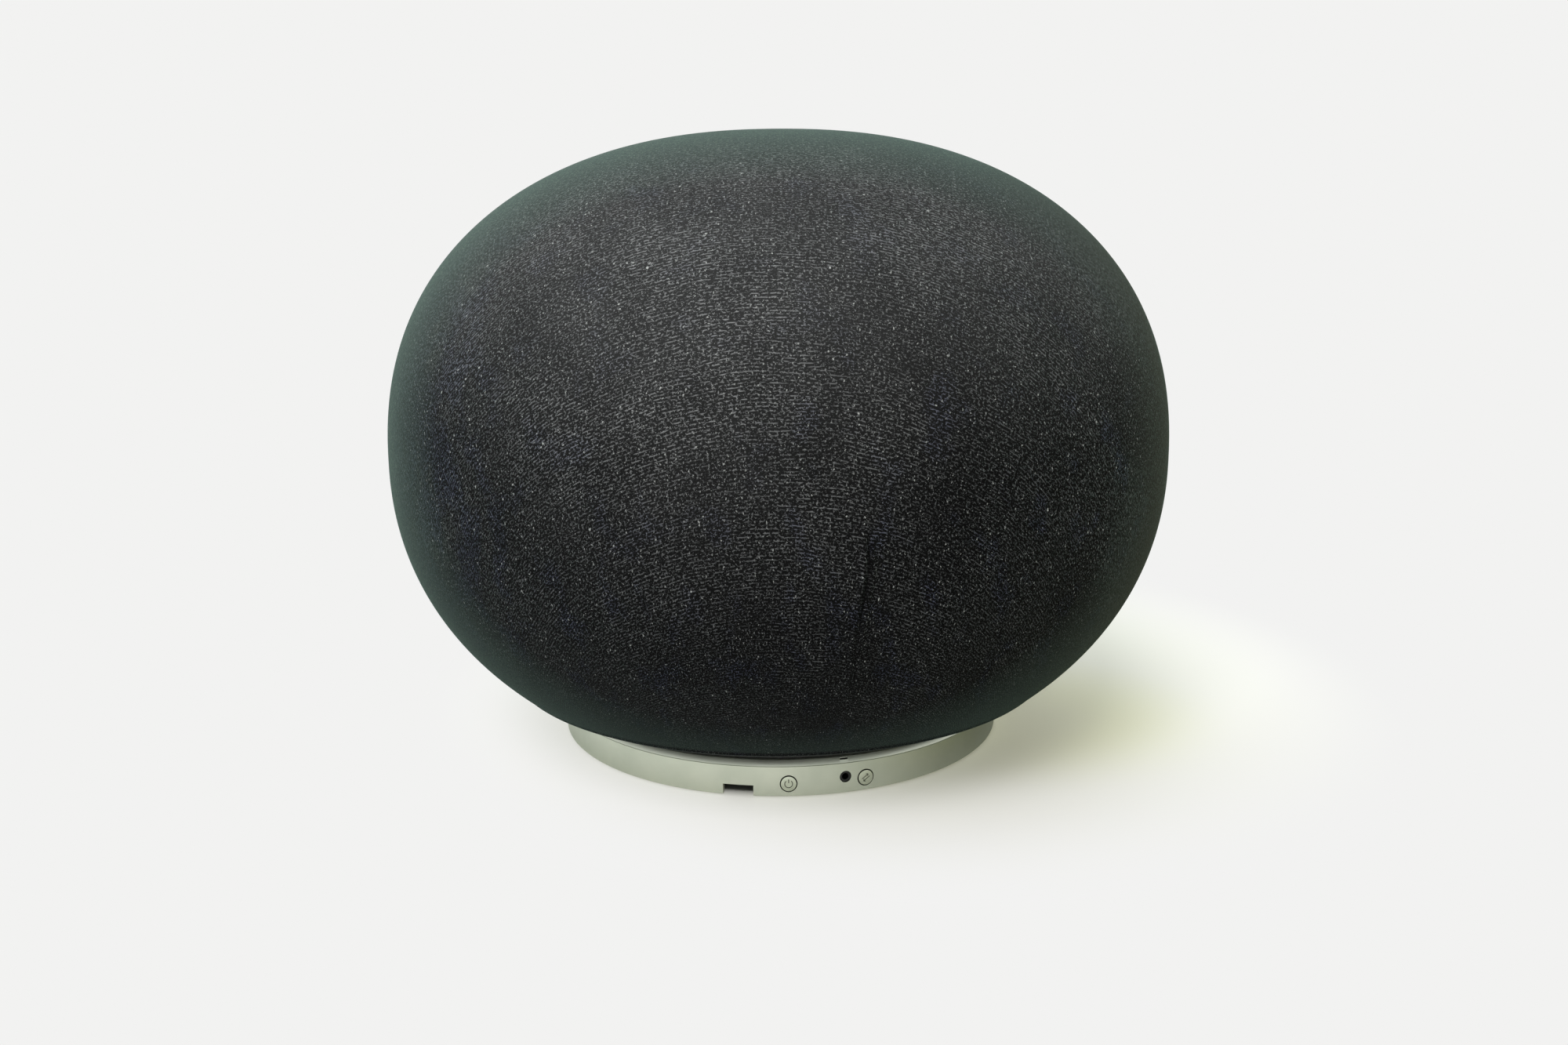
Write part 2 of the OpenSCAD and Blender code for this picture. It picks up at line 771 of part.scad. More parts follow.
// Keeps the inside of the enclosure free of the lugs' inner halves
module box_hollow_for_lugs(y) {
    intersection() {
        box_solid(box_wall);
        translate([-big / 2, y - lug_len - beyond, 0]) cube([big, 2 * lug_len + 2 * beyond, big]);
    }
}

module enclosure_rear() {
    rear_y = split_y - gasket_t / 2;
    color("#3a3b3d") difference() {
        union() {
            difference() {
                box_shell();
                translate([-big / 2, rear_y, 0]) cube(big);
            }
            at_lugs() translate([0, rear_y, 0]) rod_out(lug_r, lug_len);
        }
        box_hollow_for_lugs(rear_y);
        looking_out(180, 0, port_flat, port_z) translate([0, 0, -box_wall - beyond])
            cylinder(r = port_r + port_wall + seat_gap, h = box_wall + 2 * beyond);
        at_lugs() translate([0, rear_y + beyond, 0])
            rod_out(lug_screw_d / 2 + screw_gap, lug_len + 2 * beyond);
        at_fixings() cylinder(d = fixing_d + 2 * screw_gap, h = box_floor + box_wall - chassis_z);
    }
}

module enclosure_gasket() {
    color("#0c0c0c") intersection() {
        box_shell();
        translate([-big / 2, split_y - gasket_t / 2, 0]) cube([big, gasket_t, big]);
    }
}

module enclosure_screws() {
    head_y = split_y - gasket_t / 2 - lug_len;
    color("silver") at_lugs() translate([0, head_y, 0]) rotate([-90, 0, 0])
        translate([0, 0, -2]) {
            cylinder(d = lug_screw_d, h = lug_screw_len + 2);
            cylinder(d = 1.8 * lug_screw_d, h = 2);
        }
}

// Screws up through the chassis into the enclosure's floor
module enclosure_base_screws() {
    head_z = beyond - 0.6 * fixing_d;
    color("silver") at_fixings() translate([0, 0, head_z])
        screw_up(fixing_d, 0.6 * fixing_d + chassis_t + box_wall - 1.5);
}

// Flared tube through the rear of the enclosure
module bass_port() {
    out = port_r + port_wall;
    flare = port_r + 8;
    color("#101010") looking_out(180, 0, port_flat, port_z) spin([
        [port_r, -port_len], [out, -port_len], [out, 0], [flare + 4, 0], [flare + 4, 2],
        [flare, 4], [port_r + 3, 2], [port_r, -4]]);
}

// Soft lining inside the rear half
module damping_wadding() {
    color("#d8d6cf") difference() {
        box_solid(box_wall + 0.4);
        box_solid(box_wall + 12);
        translate([-big / 2, -12, 0]) cube(big);
        looking_out(180, 0, port_flat, port_z) translate([0, 0, -port_len - 5])
            cylinder(r = port_r + port_wall + 1, h = port_len + 10);
    }
}

// Driver pieces, drawn for a 76 mm frame radius and sized by k; z 0 is the mounting face
module driver_basket(k, screw_d) {
    legs = 8;
    open = 32;
    difference() {
        spin(scaled(k, [
            [76, 4], [76, 0], [67, 0], [46, -46], [46, -50], [16.2, -50], [16.2, -47],
            [40, -47], [40, -41], [45.5, -41], [64.5, 0], [64.5, 4]]));
        for (n = [0:legs - 1]) rotate([0, 0, n * 360 / legs - open / 2])
            rotate_extrude(angle = open)
                polygon(scaled(k, [[30, -37], [70, -37], [90, -6], [30, -6]]));
        around(4, driver_screw_at * k, 45) translate([0, 0, -beyond])
            cylinder(d = screw_d + 2 * screw_gap, h = driver_flange * k + 2 * beyond);
    }
}

module driver_magnet(k) {
    spin(scaled(k, [
        [0, -74], [44, -74], [44, -50], [16.2, -50], [16.2, magnet_gap], [14, magnet_gap],
        [14, -46], [0, -46]]));
}

module driver_cone(k) {
    spin(scaled(k, [[15.6, -36.5], [57.7, -8], [57.7, -7], [15.6, -35]]));
}

module driver_coil(k) {
    spin(scaled(k, [[14.6, coil_end], [15.6, coil_end], [15.6, -34.6], [14.6, -34.6]]));
}

// Shallow dome over the voice coil, with its rim at height low
module driver_cap(k, low) {
    rim = 24;
    rise = 8;
    thick = 0.8;
    steps = 8;
    spin(scaled(k, concat(
        [for (n = [0:steps]) let (a = 90 * n / steps) [rim * cos(a), low + rise * sin(a)]],
        [for (n = [steps:-1:0]) let (a = 90 * n / steps)
            [(rim - 1.4) * cos(a), low + (rise - thick) * sin(a)]])));
}

// Half roll of rubber with a long inner leg, from the frame to the cone's edge
module driver_surround(k) {
    steps = 8;
    thick = 0.8;
    spin(scaled(k, concat(
        [[68.2, 4.1], [68.2, 4.9], [66.2, 4.9]],
        [for (n = [0:steps]) let (a = 180 * n / steps) [62.1 + 4.1 * cos(a), 5 + 4.1 * sin(a)]],
        [[58, -8], [58 + thick, -8]],
        [for (n = [steps:-1:0]) let (a = 180 * n / steps)
            [62.1 + (4.1 - thick) * cos(a), 5 + (4.1 - thick) * sin(a)]],
        [[65.4, 4.1]])));
}

// Corrugated disc that centres the voice coil
module driver_spider(k) {
    waves = 5;
    thick = 0.8;
    function wave(n) = [
        45 - 28 * n / (2 * waves), -40.9 + 3 * n / (2 * waves) + (n % 2 == 1 ? 1.2 : 0)];
    spin(scaled(k, concat(
        [for (n = [0:2 * waves]) wave(n)],
        [[16, -37.9], [16, -37.9 + thick]],
        [for (n = [2 * waves:-1:0]) wave(n) + [0, thick]])));
}

module woofer_place() {
    looking_out(0, 0, woofer_flat, woofer_z) children();
}

// side is 1 for the listener's left, at +X, and -1 for the right
module mid_place(side) {
    looking_out(-side * mid_az, 0, mid_flat, woofer_z - 5) children();
}

module tweeter_place(side) {
    looking_out(-side * tweeter_az, tweeter_tilt, tweeter_at, tweeter_z) children();
}

module woofer_screw_places() {
    woofer_place() around(4, driver_screw_at * woofer_k, 45) children();
}

module small_screw_places() {
    for (side = [-1, 1]) {
        mid_place(side) around(4, driver_screw_at * mid_k, 45) children();
        tweeter_place(side) around(3, tweeter_screw_at, 90) children();
    }
}

module driver_screws() {
    color("#2c2c2c") {
        woofer_screw_places() driver_screw(woofer_screw_d, driver_flange * woofer_k, woofer_screw_len);
        for (side = [-1, 1]) {
            mid_place(side) around(4, driver_screw_at * mid_k, 45)
                driver_screw(small_screw_d, driver_flange * mid_k, small_screw_len);
            tweeter_place(side) around(3, tweeter_screw_at, 90)
                driver_screw(small_screw_d, tweeter_flange_t, small_screw_len);
        }
    }
}

// A screw through a flange of thickness t, head outwards
module driver_screw(d, t, length) {
    translate([0, 0, t - length]) cylinder(d = d, h = length);
    translate([0, 0, t]) cylinder(d = 1.8 * d, h = d / 2);
}

module woofer_basket() { color("#4a4b4d") woofer_place() driver_basket(woofer_k, woofer_screw_d); }
module woofer_magnet() { color("#6b6d70") woofer_place() driver_magnet(woofer_k); }
module woofer_cone() { color("#2a2a2a") woofer_place() driver_cone(woofer_k); }
module woofer_voice_coil() { color("#b06a3a") woofer_place() driver_coil(woofer_k); }
module woofer_dust_cap() { color("#1e1e1e") woofer_place() driver_cap(woofer_k, -29.3); }
module woofer_surround() { color("#101010") woofer_place() driver_surround(woofer_k); }
module woofer_spider() { color("#b99a5a") woofer_place() driver_spider(woofer_k); }

module mid_basket(side) { color("#4a4b4d") mid_place(side) driver_basket(mid_k, small_screw_d); }
module mid_magnet(side) { color("#6b6d70") mid_place(side) driver_magnet(mid_k); }
module mid_cone(side) {
    color("#2a2a2a") mid_place(side) {
        driver_cone(mid_k);
        driver_coil(mid_k);
        driver_cap(mid_k, -30.1);
    }
}
module mid_surround(side) { color("#101010") mid_place(side) driver_surround(mid_k); }
module mid_spider(side) { color("#b99a5a") mid_place(side) driver_spider(mid_k); }

// Tweeter: face plate, body and pole
module tweeter_housing(side) {
    gap_out = 13.6;
    gap_in = 11.4;
    color("#161616") tweeter_place(side) difference() {
        spin([
            [0, -18], [tweeter_body_r, -18], [tweeter_body_r, 0], [tweeter_r, 0],
            [tweeter_r, tweeter_flange_t], [19, tweeter_flange_t], [gap_out + 0.6, 0.4],
            [gap_out, -1.2], [gap_out, -10], [gap_in, -10], [gap_in, -3], [0, -3]]);
        around(3, tweeter_screw_at, 90) translate([0, 0, -beyond])
            cylinder(d = small_screw_d + 2 * screw_gap, h = tweeter_flange_t + 2 * beyond);
    }
}

// Soft dome on its coil
module tweeter_dome(side) {
    r = 12.9;
    rise = 5;
    thick = 0.5;
    steps = 8;
    color("#2b2b2f") tweeter_place(side) spin(concat(
        [[r, -8], [r, -0.5]],
        [for (n = [0:steps]) let (a = 90 * n / steps) [(r - 0.3) * cos(a), rise * sin(a)]],
        [for (n = [steps:-1:0]) let (a = 90 * n / steps)
            [(r - 0.3 - thick) * cos(a), (rise - thick) * sin(a)]],
        [[r - 0.7, -0.8], [r - 0.7, -8]]));
}

// A board with a hole over each of its pads
module board(b) {
    difference() {
        translate([b[0], b[1], board_lift]) cube([b[2], b[3], board_t]);
        for (p = pads_of(b)) translate([p[0], p[1], board_lift - beyond])
            cylinder(d = board_screw_d + 2 * screw_gap, h = board_t + 2 * beyond);
    }
}

module power_supply_board() {
    color("#2d5c34") board(psu);
}

module amplifier_board() {
    chip = 9;
    color("#1d4f7a") {
        board(amp);
        for (x = [24, 52]) translate([amp[0] + x, amp[1] + 14, board_lift + board_t])
            cube([chip, chip, 1.5]);
        for (x = [16, 32, 48, 64]) translate([amp[0] + x, amp[1] + 66, board_lift + board_t])
            cylinder(r = 5.5, h = 9);
    }
}

module transformer() {
    z = board_lift + board_t;
    color("#c7a23a") translate([psu[0] + 40, psu[1] + 40, z]) {
        translate([-14, -12, 0]) cube([28, 24, 5]);
        translate([0, 0, 5]) cylinder(r = 10.5, h = 9);
        translate([-14, -12, 14]) cube([28, 24, 5]);
        for (side = [-1, 1]) translate([side * 12.5 - 1.5, -12, 5]) cube([3, 24, 9]);
    }
}

module capacitors() {
    z = board_lift + board_t;
    color("#1b1d3a") {
        for (c = capacitor_sizes)
            translate([psu[0] + c[0], psu[1] + c[1], z]) cylinder(r = c[2], h = c[3]);
    }
}

// Finned block on the amplifier's output stage
module heat_sink() {
    fins = 9;
    fin_t = 1.4;
    w = 50;
    depth = 26;
    z = board_lift + board_t + 1.5;
    color("#9a9c9e") translate([amp[0] + 17, amp[1] + 6, z]) {
        cube([w, depth, 2.5]);
        for (k = [0:fins - 1]) translate([k * (w - fin_t) / (fins - 1), 0, 2.5])
            cube([fin_t, depth, 12]);
    }
}

module wireless_module() {
    color("#26303a") {
        board(radio);
        translate([radio[0] + 12, radio[1] + 7, board_lift + board_t]) cube([24, 16, 2.2]);
    }
}

// Two flat antennas that stand on the radio board
module antenna() {
    color("#b9832e") for (x = [9, radio[2] - 10])
        translate([radio[0] + x, radio[1] + 10, board_lift + board_t]) cube([1, 12, 16]);
}

module board_screws() {
    z = board_lift + board_t;
    color("silver") for (p = board_pads) translate([p[0], p[1], z - board_screw_len]) {
        cylinder(d = board_screw_d, h = board_screw_len);
        translate([0, 0, board_screw_len]) cylinder(d = 1.9 * board_screw_d, h = 1.4);
    }
}

fabric_cover();
grille_upper();
grille_lower();
hem_clamp_ring();
hem_screws();
neck_collar();
neck_flare();
base_ring();
base_plate();
foot_ring();
base_screws();
chassis_plate();
grille_screws();
power_button();
source_button();
power_switch_board();
input_board();
aux_jack();
status_light();
mains_inlet();
inlet_pins();
enclosure_front();
enclosure_rear();
enclosure_gasket();
enclosure_screws();
enclosure_base_screws();
bass_port();
damping_wadding();
woofer_basket();
woofer_magnet();
woofer_cone();
woofer_voice_coil();
woofer_dust_cap();
woofer_surround();
woofer_spider();
mid_basket(1);  // mid_left_basket
mid_magnet(1);  // mid_left_magnet
mid_cone(1);  // mid_left_cone
mid_surround(1);  // mid_left_surround
mid_spider(1);  // mid_left_spider
mid_basket(-1);  // mid_right_basket
mid_magnet(-1);  // mid_right_magnet
mid_cone(-1);  // mid_right_cone
mid_surround(-1);  // mid_right_surround
mid_spider(-1);  // mid_right_spider
tweeter_housing(1);  // tweeter_left_housing
tweeter_dome(1);  // tweeter_left_dome
tweeter_housing(-1);  // tweeter_right_housing
tweeter_dome(-1);  // tweeter_right_dome
driver_screws();
power_supply_board();
transformer();
capacitors();
amplifier_board();
heat_sink();
wireless_module();
antenna();
board_screws();
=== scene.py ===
import json
import math

import bmesh
import bpy
import numpy as np
from mathutils import Matrix, Vector


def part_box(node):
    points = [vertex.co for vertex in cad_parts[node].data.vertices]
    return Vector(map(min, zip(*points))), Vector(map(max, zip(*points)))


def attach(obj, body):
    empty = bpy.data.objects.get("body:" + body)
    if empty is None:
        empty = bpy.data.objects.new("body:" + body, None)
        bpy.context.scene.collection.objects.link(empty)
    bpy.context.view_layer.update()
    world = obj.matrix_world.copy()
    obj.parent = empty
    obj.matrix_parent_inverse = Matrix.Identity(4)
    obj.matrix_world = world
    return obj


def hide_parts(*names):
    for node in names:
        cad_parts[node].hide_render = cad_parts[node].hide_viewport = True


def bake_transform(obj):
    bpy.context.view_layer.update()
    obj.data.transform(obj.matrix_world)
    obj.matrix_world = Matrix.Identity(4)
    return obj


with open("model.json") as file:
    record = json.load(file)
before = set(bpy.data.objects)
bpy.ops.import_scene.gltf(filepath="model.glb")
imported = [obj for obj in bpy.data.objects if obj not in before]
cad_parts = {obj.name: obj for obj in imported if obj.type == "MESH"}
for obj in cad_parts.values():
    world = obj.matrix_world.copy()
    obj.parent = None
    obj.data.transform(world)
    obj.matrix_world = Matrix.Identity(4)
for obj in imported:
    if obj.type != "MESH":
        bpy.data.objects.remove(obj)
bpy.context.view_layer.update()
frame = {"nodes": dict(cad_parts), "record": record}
bpy.ops.object.select_all(action="DESELECT")
bpy.context.scene.view_settings.view_transform = "Standard"
mm = 0.001

# Camera: in front of the control side, a little above the ball, looking down on it.
camera = bpy.data.objects.new("camera", bpy.data.cameras.new("camera"))
bpy.context.scene.collection.objects.link(camera)
camera.data.lens = 35
camera.data.sensor_width = 36
camera.matrix_world = (
    Matrix.Translation((0.0004, -0.8525, 0.3206))
    @ Matrix.Rotation(math.radians(-0.15), 4, "Z")
    @ Matrix.Rotation(math.radians(76.45), 4, "X")
    @ Matrix.Rotation(math.radians(-0.42), 4, "Z")
)
bpy.context.scene.camera = camera


# Studio: a matt white table that fades into a pale sky outside the object's shadow, a wide
# window behind on the left, and a large soft lamp high in front. Table and sky are pale
# to the camera and in reflections; what they throw back on the object is a dim room's.
# The table also carries painted light: a glow of its own, a painted warm shade beside the
# ring for the camera, and a painted olive shade on its right in reflections.
def linear(code):
    """An sRGB hex colour as linear RGBA."""
    parts = [int(code[i:i + 2], 16) / 255 for i in (1, 3, 5)]
    return [c / 12.92 if c <= 0.04045 else ((c + 0.055) / 1.055) ** 2.4 for c in parts] + [1]


def add_node(tree, kind, inputs=None, **settings):
    """Adds a shader node, sets its properties, and fills or links its inputs."""
    node = tree.nodes.new("ShaderNode" + kind)
    for name, value in settings.items():
        setattr(node, name, value)
    for socket, value in (inputs or {}).items():
        if isinstance(value, bpy.types.Node):
            value = value.outputs[0]
        if isinstance(value, str) and value.startswith("#"):
            value = linear(value)
        if isinstance(value, bpy.types.NodeSocket):
            tree.links.new(value, node.inputs[socket])
        else:
            node.inputs[socket].default_value = value
    return node


def kinds_of_ray(tree):
    """Whether a ray is the camera's own, and whether it is a reflection or a refraction."""
    path = add_node(tree, "LightPath").outputs
    mirrored = add_node(tree, "Math", {
        0: path["Is Glossy Ray"], 1: path["Is Transmission Ray"]}, operation="MAXIMUM")
    return path["Is Camera Ray"], mirrored


world = bpy.data.worlds.new("pale studio")
bpy.context.scene.world = world
world.use_nodes = True
sky = world.node_tree
sky.nodes.clear()
towards_window = add_node(sky, "VectorMath", {
    0: add_node(sky, "TexCoord").outputs["Generated"], 1: (-0.52, 0.64, 0.57)},
    operation="DOT_PRODUCT").outputs["Value"]
glow = add_node(sky, "Background", {
    "Color": "#f0f8f4",
    "Strength": add_node(sky, "MapRange", {
        "Value": towards_window, "From Min": 0.3, "From Max": 0.95,
        "To Min": 0.1, "To Max": 2.1})})
pale = add_node(sky, "Background", {"Color": "#f2f2f1", "Strength": 1.0})
seen, mirrored = kinds_of_ray(sky)
not_bounced = add_node(sky, "Math", {0: seen, 1: mirrored}, operation="MAXIMUM")
add_node(sky, "OutputWorld", {
    "Surface": add_node(sky, "MixShader", {0: not_bounced, 1: glow, 2: pale})})


def start_material(name):
    """A material without nodes, its node tree, and the place on the object in metres."""
    material = bpy.data.materials.new(name)
    material.use_nodes = True
    material.node_tree.nodes.clear()
    spot = add_node(material.node_tree, "TexCoord").outputs["Object"]
    return material, material.node_tree, spot


def finish_material(tree, inputs):
    """Ends a node tree with its surface shader."""
    surface = add_node(tree, "BsdfPrincipled", inputs)
    add_node(tree, "OutputMaterial", {"Surface": surface})


bpy.ops.mesh.primitive_plane_add(size=30)
table = bpy.context.object
table.name = "table"
lacquer, tree, spot = start_material("matt white lacquer")
seen, mirrored = kinds_of_ray(tree)
rightwards = add_node(tree, "SeparateXYZ", {0: spot}).outputs["X"]
# Painted shade: to the right of x = 0.05 m the table is marked as shaded, for reflections.
shaded = add_node(tree, "MapRange", {"Value": rightwards, "From Min": 0.05, "From Max": 0.16})

# Its colour for light that bounces, paler to the right; for reflections in the ring, with a
# painted olive shade on the right; and for the camera, with a painted warm shade beside the ring.
thrown_back = add_node(tree, "Mix", {
    0: add_node(tree, "MapRange", {"Value": rightwards, "From Min": 0.12, "From Max": 0.35}),
    6: "#90928e", 7: "#d2d4c2"}, data_type="RGBA")
reflected = add_node(tree, "Mix", {0: shaded, 6: "#fdfdfb", 7: "#888c38"}, data_type="RGBA")
# Painted shade: a warm yellow tint on the table in the shadow just right of the ring, for the
# camera only.
from_painted_warm_shade = add_node(tree, "VectorMath", {0: spot, 1: (0.15, -0.01, 0)},
                          operation="DISTANCE").outputs["Value"]
painted_warm_shade = add_node(tree, "MapRange", {
    "Value": from_painted_warm_shade, "From Min": 0.03, "From Max": 0.12, "To Min": 1.0, "To Max": 0.0},
    interpolation_type="SMOOTHSTEP")
looked_at = add_node(tree, "Mix", {0: painted_warm_shade, 6: "#e6e6e4", 7: "#e4e6c0"}, data_type="RGBA")
paleness = add_node(tree, "Mix", {0: seen, 6: thrown_back.outputs[2], 7: looked_at.outputs[2]},
                    data_type="RGBA")
paleness = add_node(tree, "Mix", {0: mirrored, 6: paleness.outputs[2], 7: reflected.outputs[2]},
                    data_type="RGBA")

# A little light of its own, a painted glow, lifts its shadow outside the ring for the camera
# and brightens its middle in reflections, and haze takes it into the sky.
from_middle = add_node(tree, "VectorMath", {0: spot}, operation="LENGTH").outputs["Value"]
beside_ring = add_node(tree, "MapRange", {
    "Value": from_middle, "From Min": 0.116, "From Max": 0.126})
seen_beside = add_node(tree, "Math", {0: seen, 1: beside_ring}, operation="MULTIPLY")
# Painted glow in reflections: the ring sees the table brighter in the middle, fading out to the
# left and into the painted shade on the right.
painted_glow_in_mirror = add_node(tree, "Math", {
    0: add_node(tree, "MapRange", {"Value": shaded, "To Min": 0.16, "To Max": 0.0}),
    1: add_node(tree, "MapRange", {
        "Value": rightwards, "From Min": -0.24, "From Max": -0.06})},
    operation="MULTIPLY")
own_light = add_node(tree, "Math", {
    0: add_node(tree, "Math", {0: seen_beside, 1: 0.3}, operation="MULTIPLY"),
    1: add_node(tree, "Math", {0: mirrored, 1: painted_glow_in_mirror}, operation="MULTIPLY")},
    operation="ADD")
from_shadow = add_node(tree, "VectorMath", {0: spot, 1: (0.08, 0.06, 0)},
                       operation="DISTANCE").outputs["Value"]
far_off = add_node(tree, "MapRange", {"Value": from_shadow, "From Min": 0.14, "From Max": 0.30},
                   interpolation_type="SMOOTHSTEP")
near_table = add_node(tree, "BsdfPrincipled", {
    "Base Color": paleness.outputs[2], "Roughness": 0.6, "Emission Color": "#f6f5dc",
    "Emission Strength": own_light})
far_table = add_node(tree, "Emission", {"Color": "#f2f2f1", "Strength": 1.0})
haze = add_node(tree, "Math", {0: seen_beside, 1: far_off}, operation="MULTIPLY")
surface = add_node(tree, "MixShader", {0: haze, 1: near_table, 2: far_table})
add_node(tree, "OutputMaterial", {"Surface": surface})
table.data.materials.append(lacquer)


def soft_lamp(name, place, target, size, power, colour):
    """A square area lamp that faces its target."""
    lamp = bpy.data.objects.new(name, bpy.data.lights.new(name, "AREA"))
    bpy.context.scene.collection.objects.link(lamp)
    lamp.data.size = size
    lamp.data.energy = power
    lamp.data.color = linear(colour)[:3]
    lamp.location = place
    lamp.rotation_euler = (Vector(target) - Vector(place)).to_track_quat("-Z", "Y").to_euler()


soft_lamp("key lamp", (-0.85, -3.15, 3.8), (0, 0, 0.15), 2.2, 150, "#fffdfb")

# Cloth: one round of charcoal stretch knit, drawn down over the ball from the top, turned
# under the grille's rim and clamped there. It lies smooth but for one upright crease on
# the control side, where the slack was taken up, and it has gathered dust and lint.
ball_r, middle_z, up_h, low_h = 0.215, 0.1605, 0.174, 0.172
up_n, low_n = 2.27, 2.13      # roundness of each half, where 2 is a plain ellipse
hem_z, hem_turn, hem_roll = 0.034, 0.008, 0.0016
hem_lean = 0.4 * mm           # how far the turned edge is drawn in before it lies flat
cloth_t = 0.0008


def ball_side(up_steps, low_steps, inset=0):
    """Points (radius, height) of the ball's side, from the top pole to the lower rim."""
    points = []
    for k in range(up_steps, -1, -1):
        t = math.pi / 2 * k / up_steps
        points.append((
            (ball_r - inset) * max(math.cos(t), 0) ** (2 / up_n),
            middle_z + (up_h - inset) * math.sin(t) ** (2 / up_n)))
    end = math.asin(((middle_z - hem_z - hem_roll) / (low_h - inset)) ** (low_n / 2))
    for k in range(1, low_steps + 1):
        t = end * k / low_steps
        points.append((
            (ball_r - inset) * math.cos(t) ** (2 / low_n),
            middle_z - (low_h - inset) * math.sin(t) ** (2 / low_n)))
    return points


side = ball_side(58, 40)
rim_r = side[-1][0]
for a in (30, 60, 90):
    side.append((
        rim_r - hem_roll * (1 - math.cos(math.radians(a))) - hem_lean * a / 90,
        hem_z + hem_roll - hem_roll * math.sin(math.radians(a))))
hem_r = side[-1][0]
side += [(hem_r - d, hem_z) for d in (0.003, hem_turn)]

# The crease: heights with its azimuth in degrees, heights with its share of the full depth,
# and across it the height and place of both ridges, how wide a ridge is, and how wide the
# painted shade in its furrow is.
crease_line = [(0.062, 10.1), (0.068, 10.06), (0.087, 9.62), (0.109, 9.5), (0.132, 10.0),
               (0.143, 10.45), (0.166, 10.4)]
crease_depth = [(0.060, 0), (0.070, 0.22), (0.090, 0.35), (0.108, 0.45), (0.124, 0.8),
                (0.136, 1.0), (0.152, 0.9), (0.168, 0)]
ridges = ((2.2 * mm, -2.1 * mm), (1.7 * mm, 2.0 * mm))
ridge_w, crease_shade_w = 1.3 * mm, 1.25 * mm


def crease_at(azimuth, z, radius):
    """How far the crease's two ridges lift the cloth, and how much painted shade lies between
    them.
    """
    depth = np.interp(z, *zip(*crease_depth))
    across = math.radians(azimuth - np.interp(z, *zip(*crease_line))) * radius
    lift = sum(high * math.exp(-((across - at) / ridge_w) ** 2) for high, at in ridges)
    return depth * lift, depth * math.exp(-(across / crease_shade_w) ** 2)


wide_step, fine_from, fine_step = 1.25, 7.7, 0.17     # degrees; fine across the crease
azimuths = sorted(
    [a * wide_step for a in range(-144, 144)]
    + [fine_from + fine_step * k for k in range(30)
       if (fine_from + fine_step * k) % wide_step > 0.02])
form = bmesh.new()
flat_place = form.loops.layers.uv.new("flat cloth")
# Painted shade: each corner stores how much painted shade the crease's furrow puts on it.
crease_shade_layer = form.verts.layers.float.new("painted crease shade")
arc = [0.0]
for (r0, z0), (r1, z1) in zip(side, side[1:]):
    arc.append(arc[-1] + math.hypot(r1 - r0, z1 - z0))
pole = form.verts.new((0, 0, side[0][1]))
rounds = []
for r, z in side[1:]:
    ring = []
    for a in azimuths:
        lift, crease_shade = crease_at(a, z, r)
        corner = form.verts.new((
            (r + lift) * math.sin(math.radians(a)), -(r + lift) * math.cos(math.radians(a)), z))
        corner[crease_shade_layer] = crease_shade
        ring.append(corner)
    rounds.append(ring)


def lay_flat(face, places):
    """Gives each corner its place on the flat cloth, in millimetres from its middle."""
    for corner, (s, a) in zip(face.loops, places):
        corner[flat_place].uv = (
            1000 * s * math.sin(math.radians(a)), -1000 * s * math.cos(math.radians(a)))


for j, a0 in enumerate(azimuths):
    k = (j + 1) % len(azimuths)
    a1 = azimuths[k]
    lay_flat(form.faces.new((pole, rounds[0][j], rounds[0][k])),
             ((0, a0), (arc[1], a0), (arc[1], a1)))
    for i in range(len(rounds) - 1):
        lay_flat(
            form.faces.new((rounds[i][j], rounds[i + 1][j], rounds[i + 1][k], rounds[i][k])),
            ((arc[i + 1], a0), (arc[i + 2], a0), (arc[i + 2], a1), (arc[i + 1], a1)))
cover = bpy.data.objects.new("knit_cover", bpy.data.meshes.new("knit_cover"))
form.to_mesh(cover.data)
form.free()
bpy.context.scene.collection.objects.link(cover)
bpy.context.view_layer.objects.active = cover
cover.select_set(True)
bpy.ops.object.mode_set(mode="EDIT")
bpy.ops.mesh.select_all(action="SELECT")
bpy.ops.mesh.normals_make_consistent(inside=False)
bpy.ops.object.mode_set(mode="OBJECT")
wall = cover.modifiers.new("cloth thickness", "SOLIDIFY")
wall.thickness = cloth_t
wall.offset = -1
bpy.ops.object.modifier_apply(modifier=wall.name)
bpy.ops.object.shade_smooth()

# Polyester jersey, matt: rows of small stitches whose lighter thread shows as broken dashes
# and loose fibre as grain, bluer in patches with painted cool light on the left, dust with
# painted light on the shoulder of the control side and on top, white lint, painted shade in
# the crease, and a painted sheen, paler and greener, where the eye grazes the cloth.
jersey, tree, spot = start_material("charcoal polyester jersey")
flat = add_node(tree, "UVMap", uv_map="flat cloth")
row_pitch = 1.7    # mm; a real row is about half of this and wouldn't show in the render


def cloth_noise(x, y, detail=2.0, roughness=0.5):
    """Noise with features of about x by y millimetres on the flat cloth."""
    place = add_node(tree, "VectorMath", {0: flat, 1: (1 / x, 1 / y, 1)}, operation="MULTIPLY")
    return add_node(tree, "TexNoise", {
        "Vector": place, "Scale": 1.0, "Detail": detail, "Roughness": roughness},
        noise_dimensions="2D")


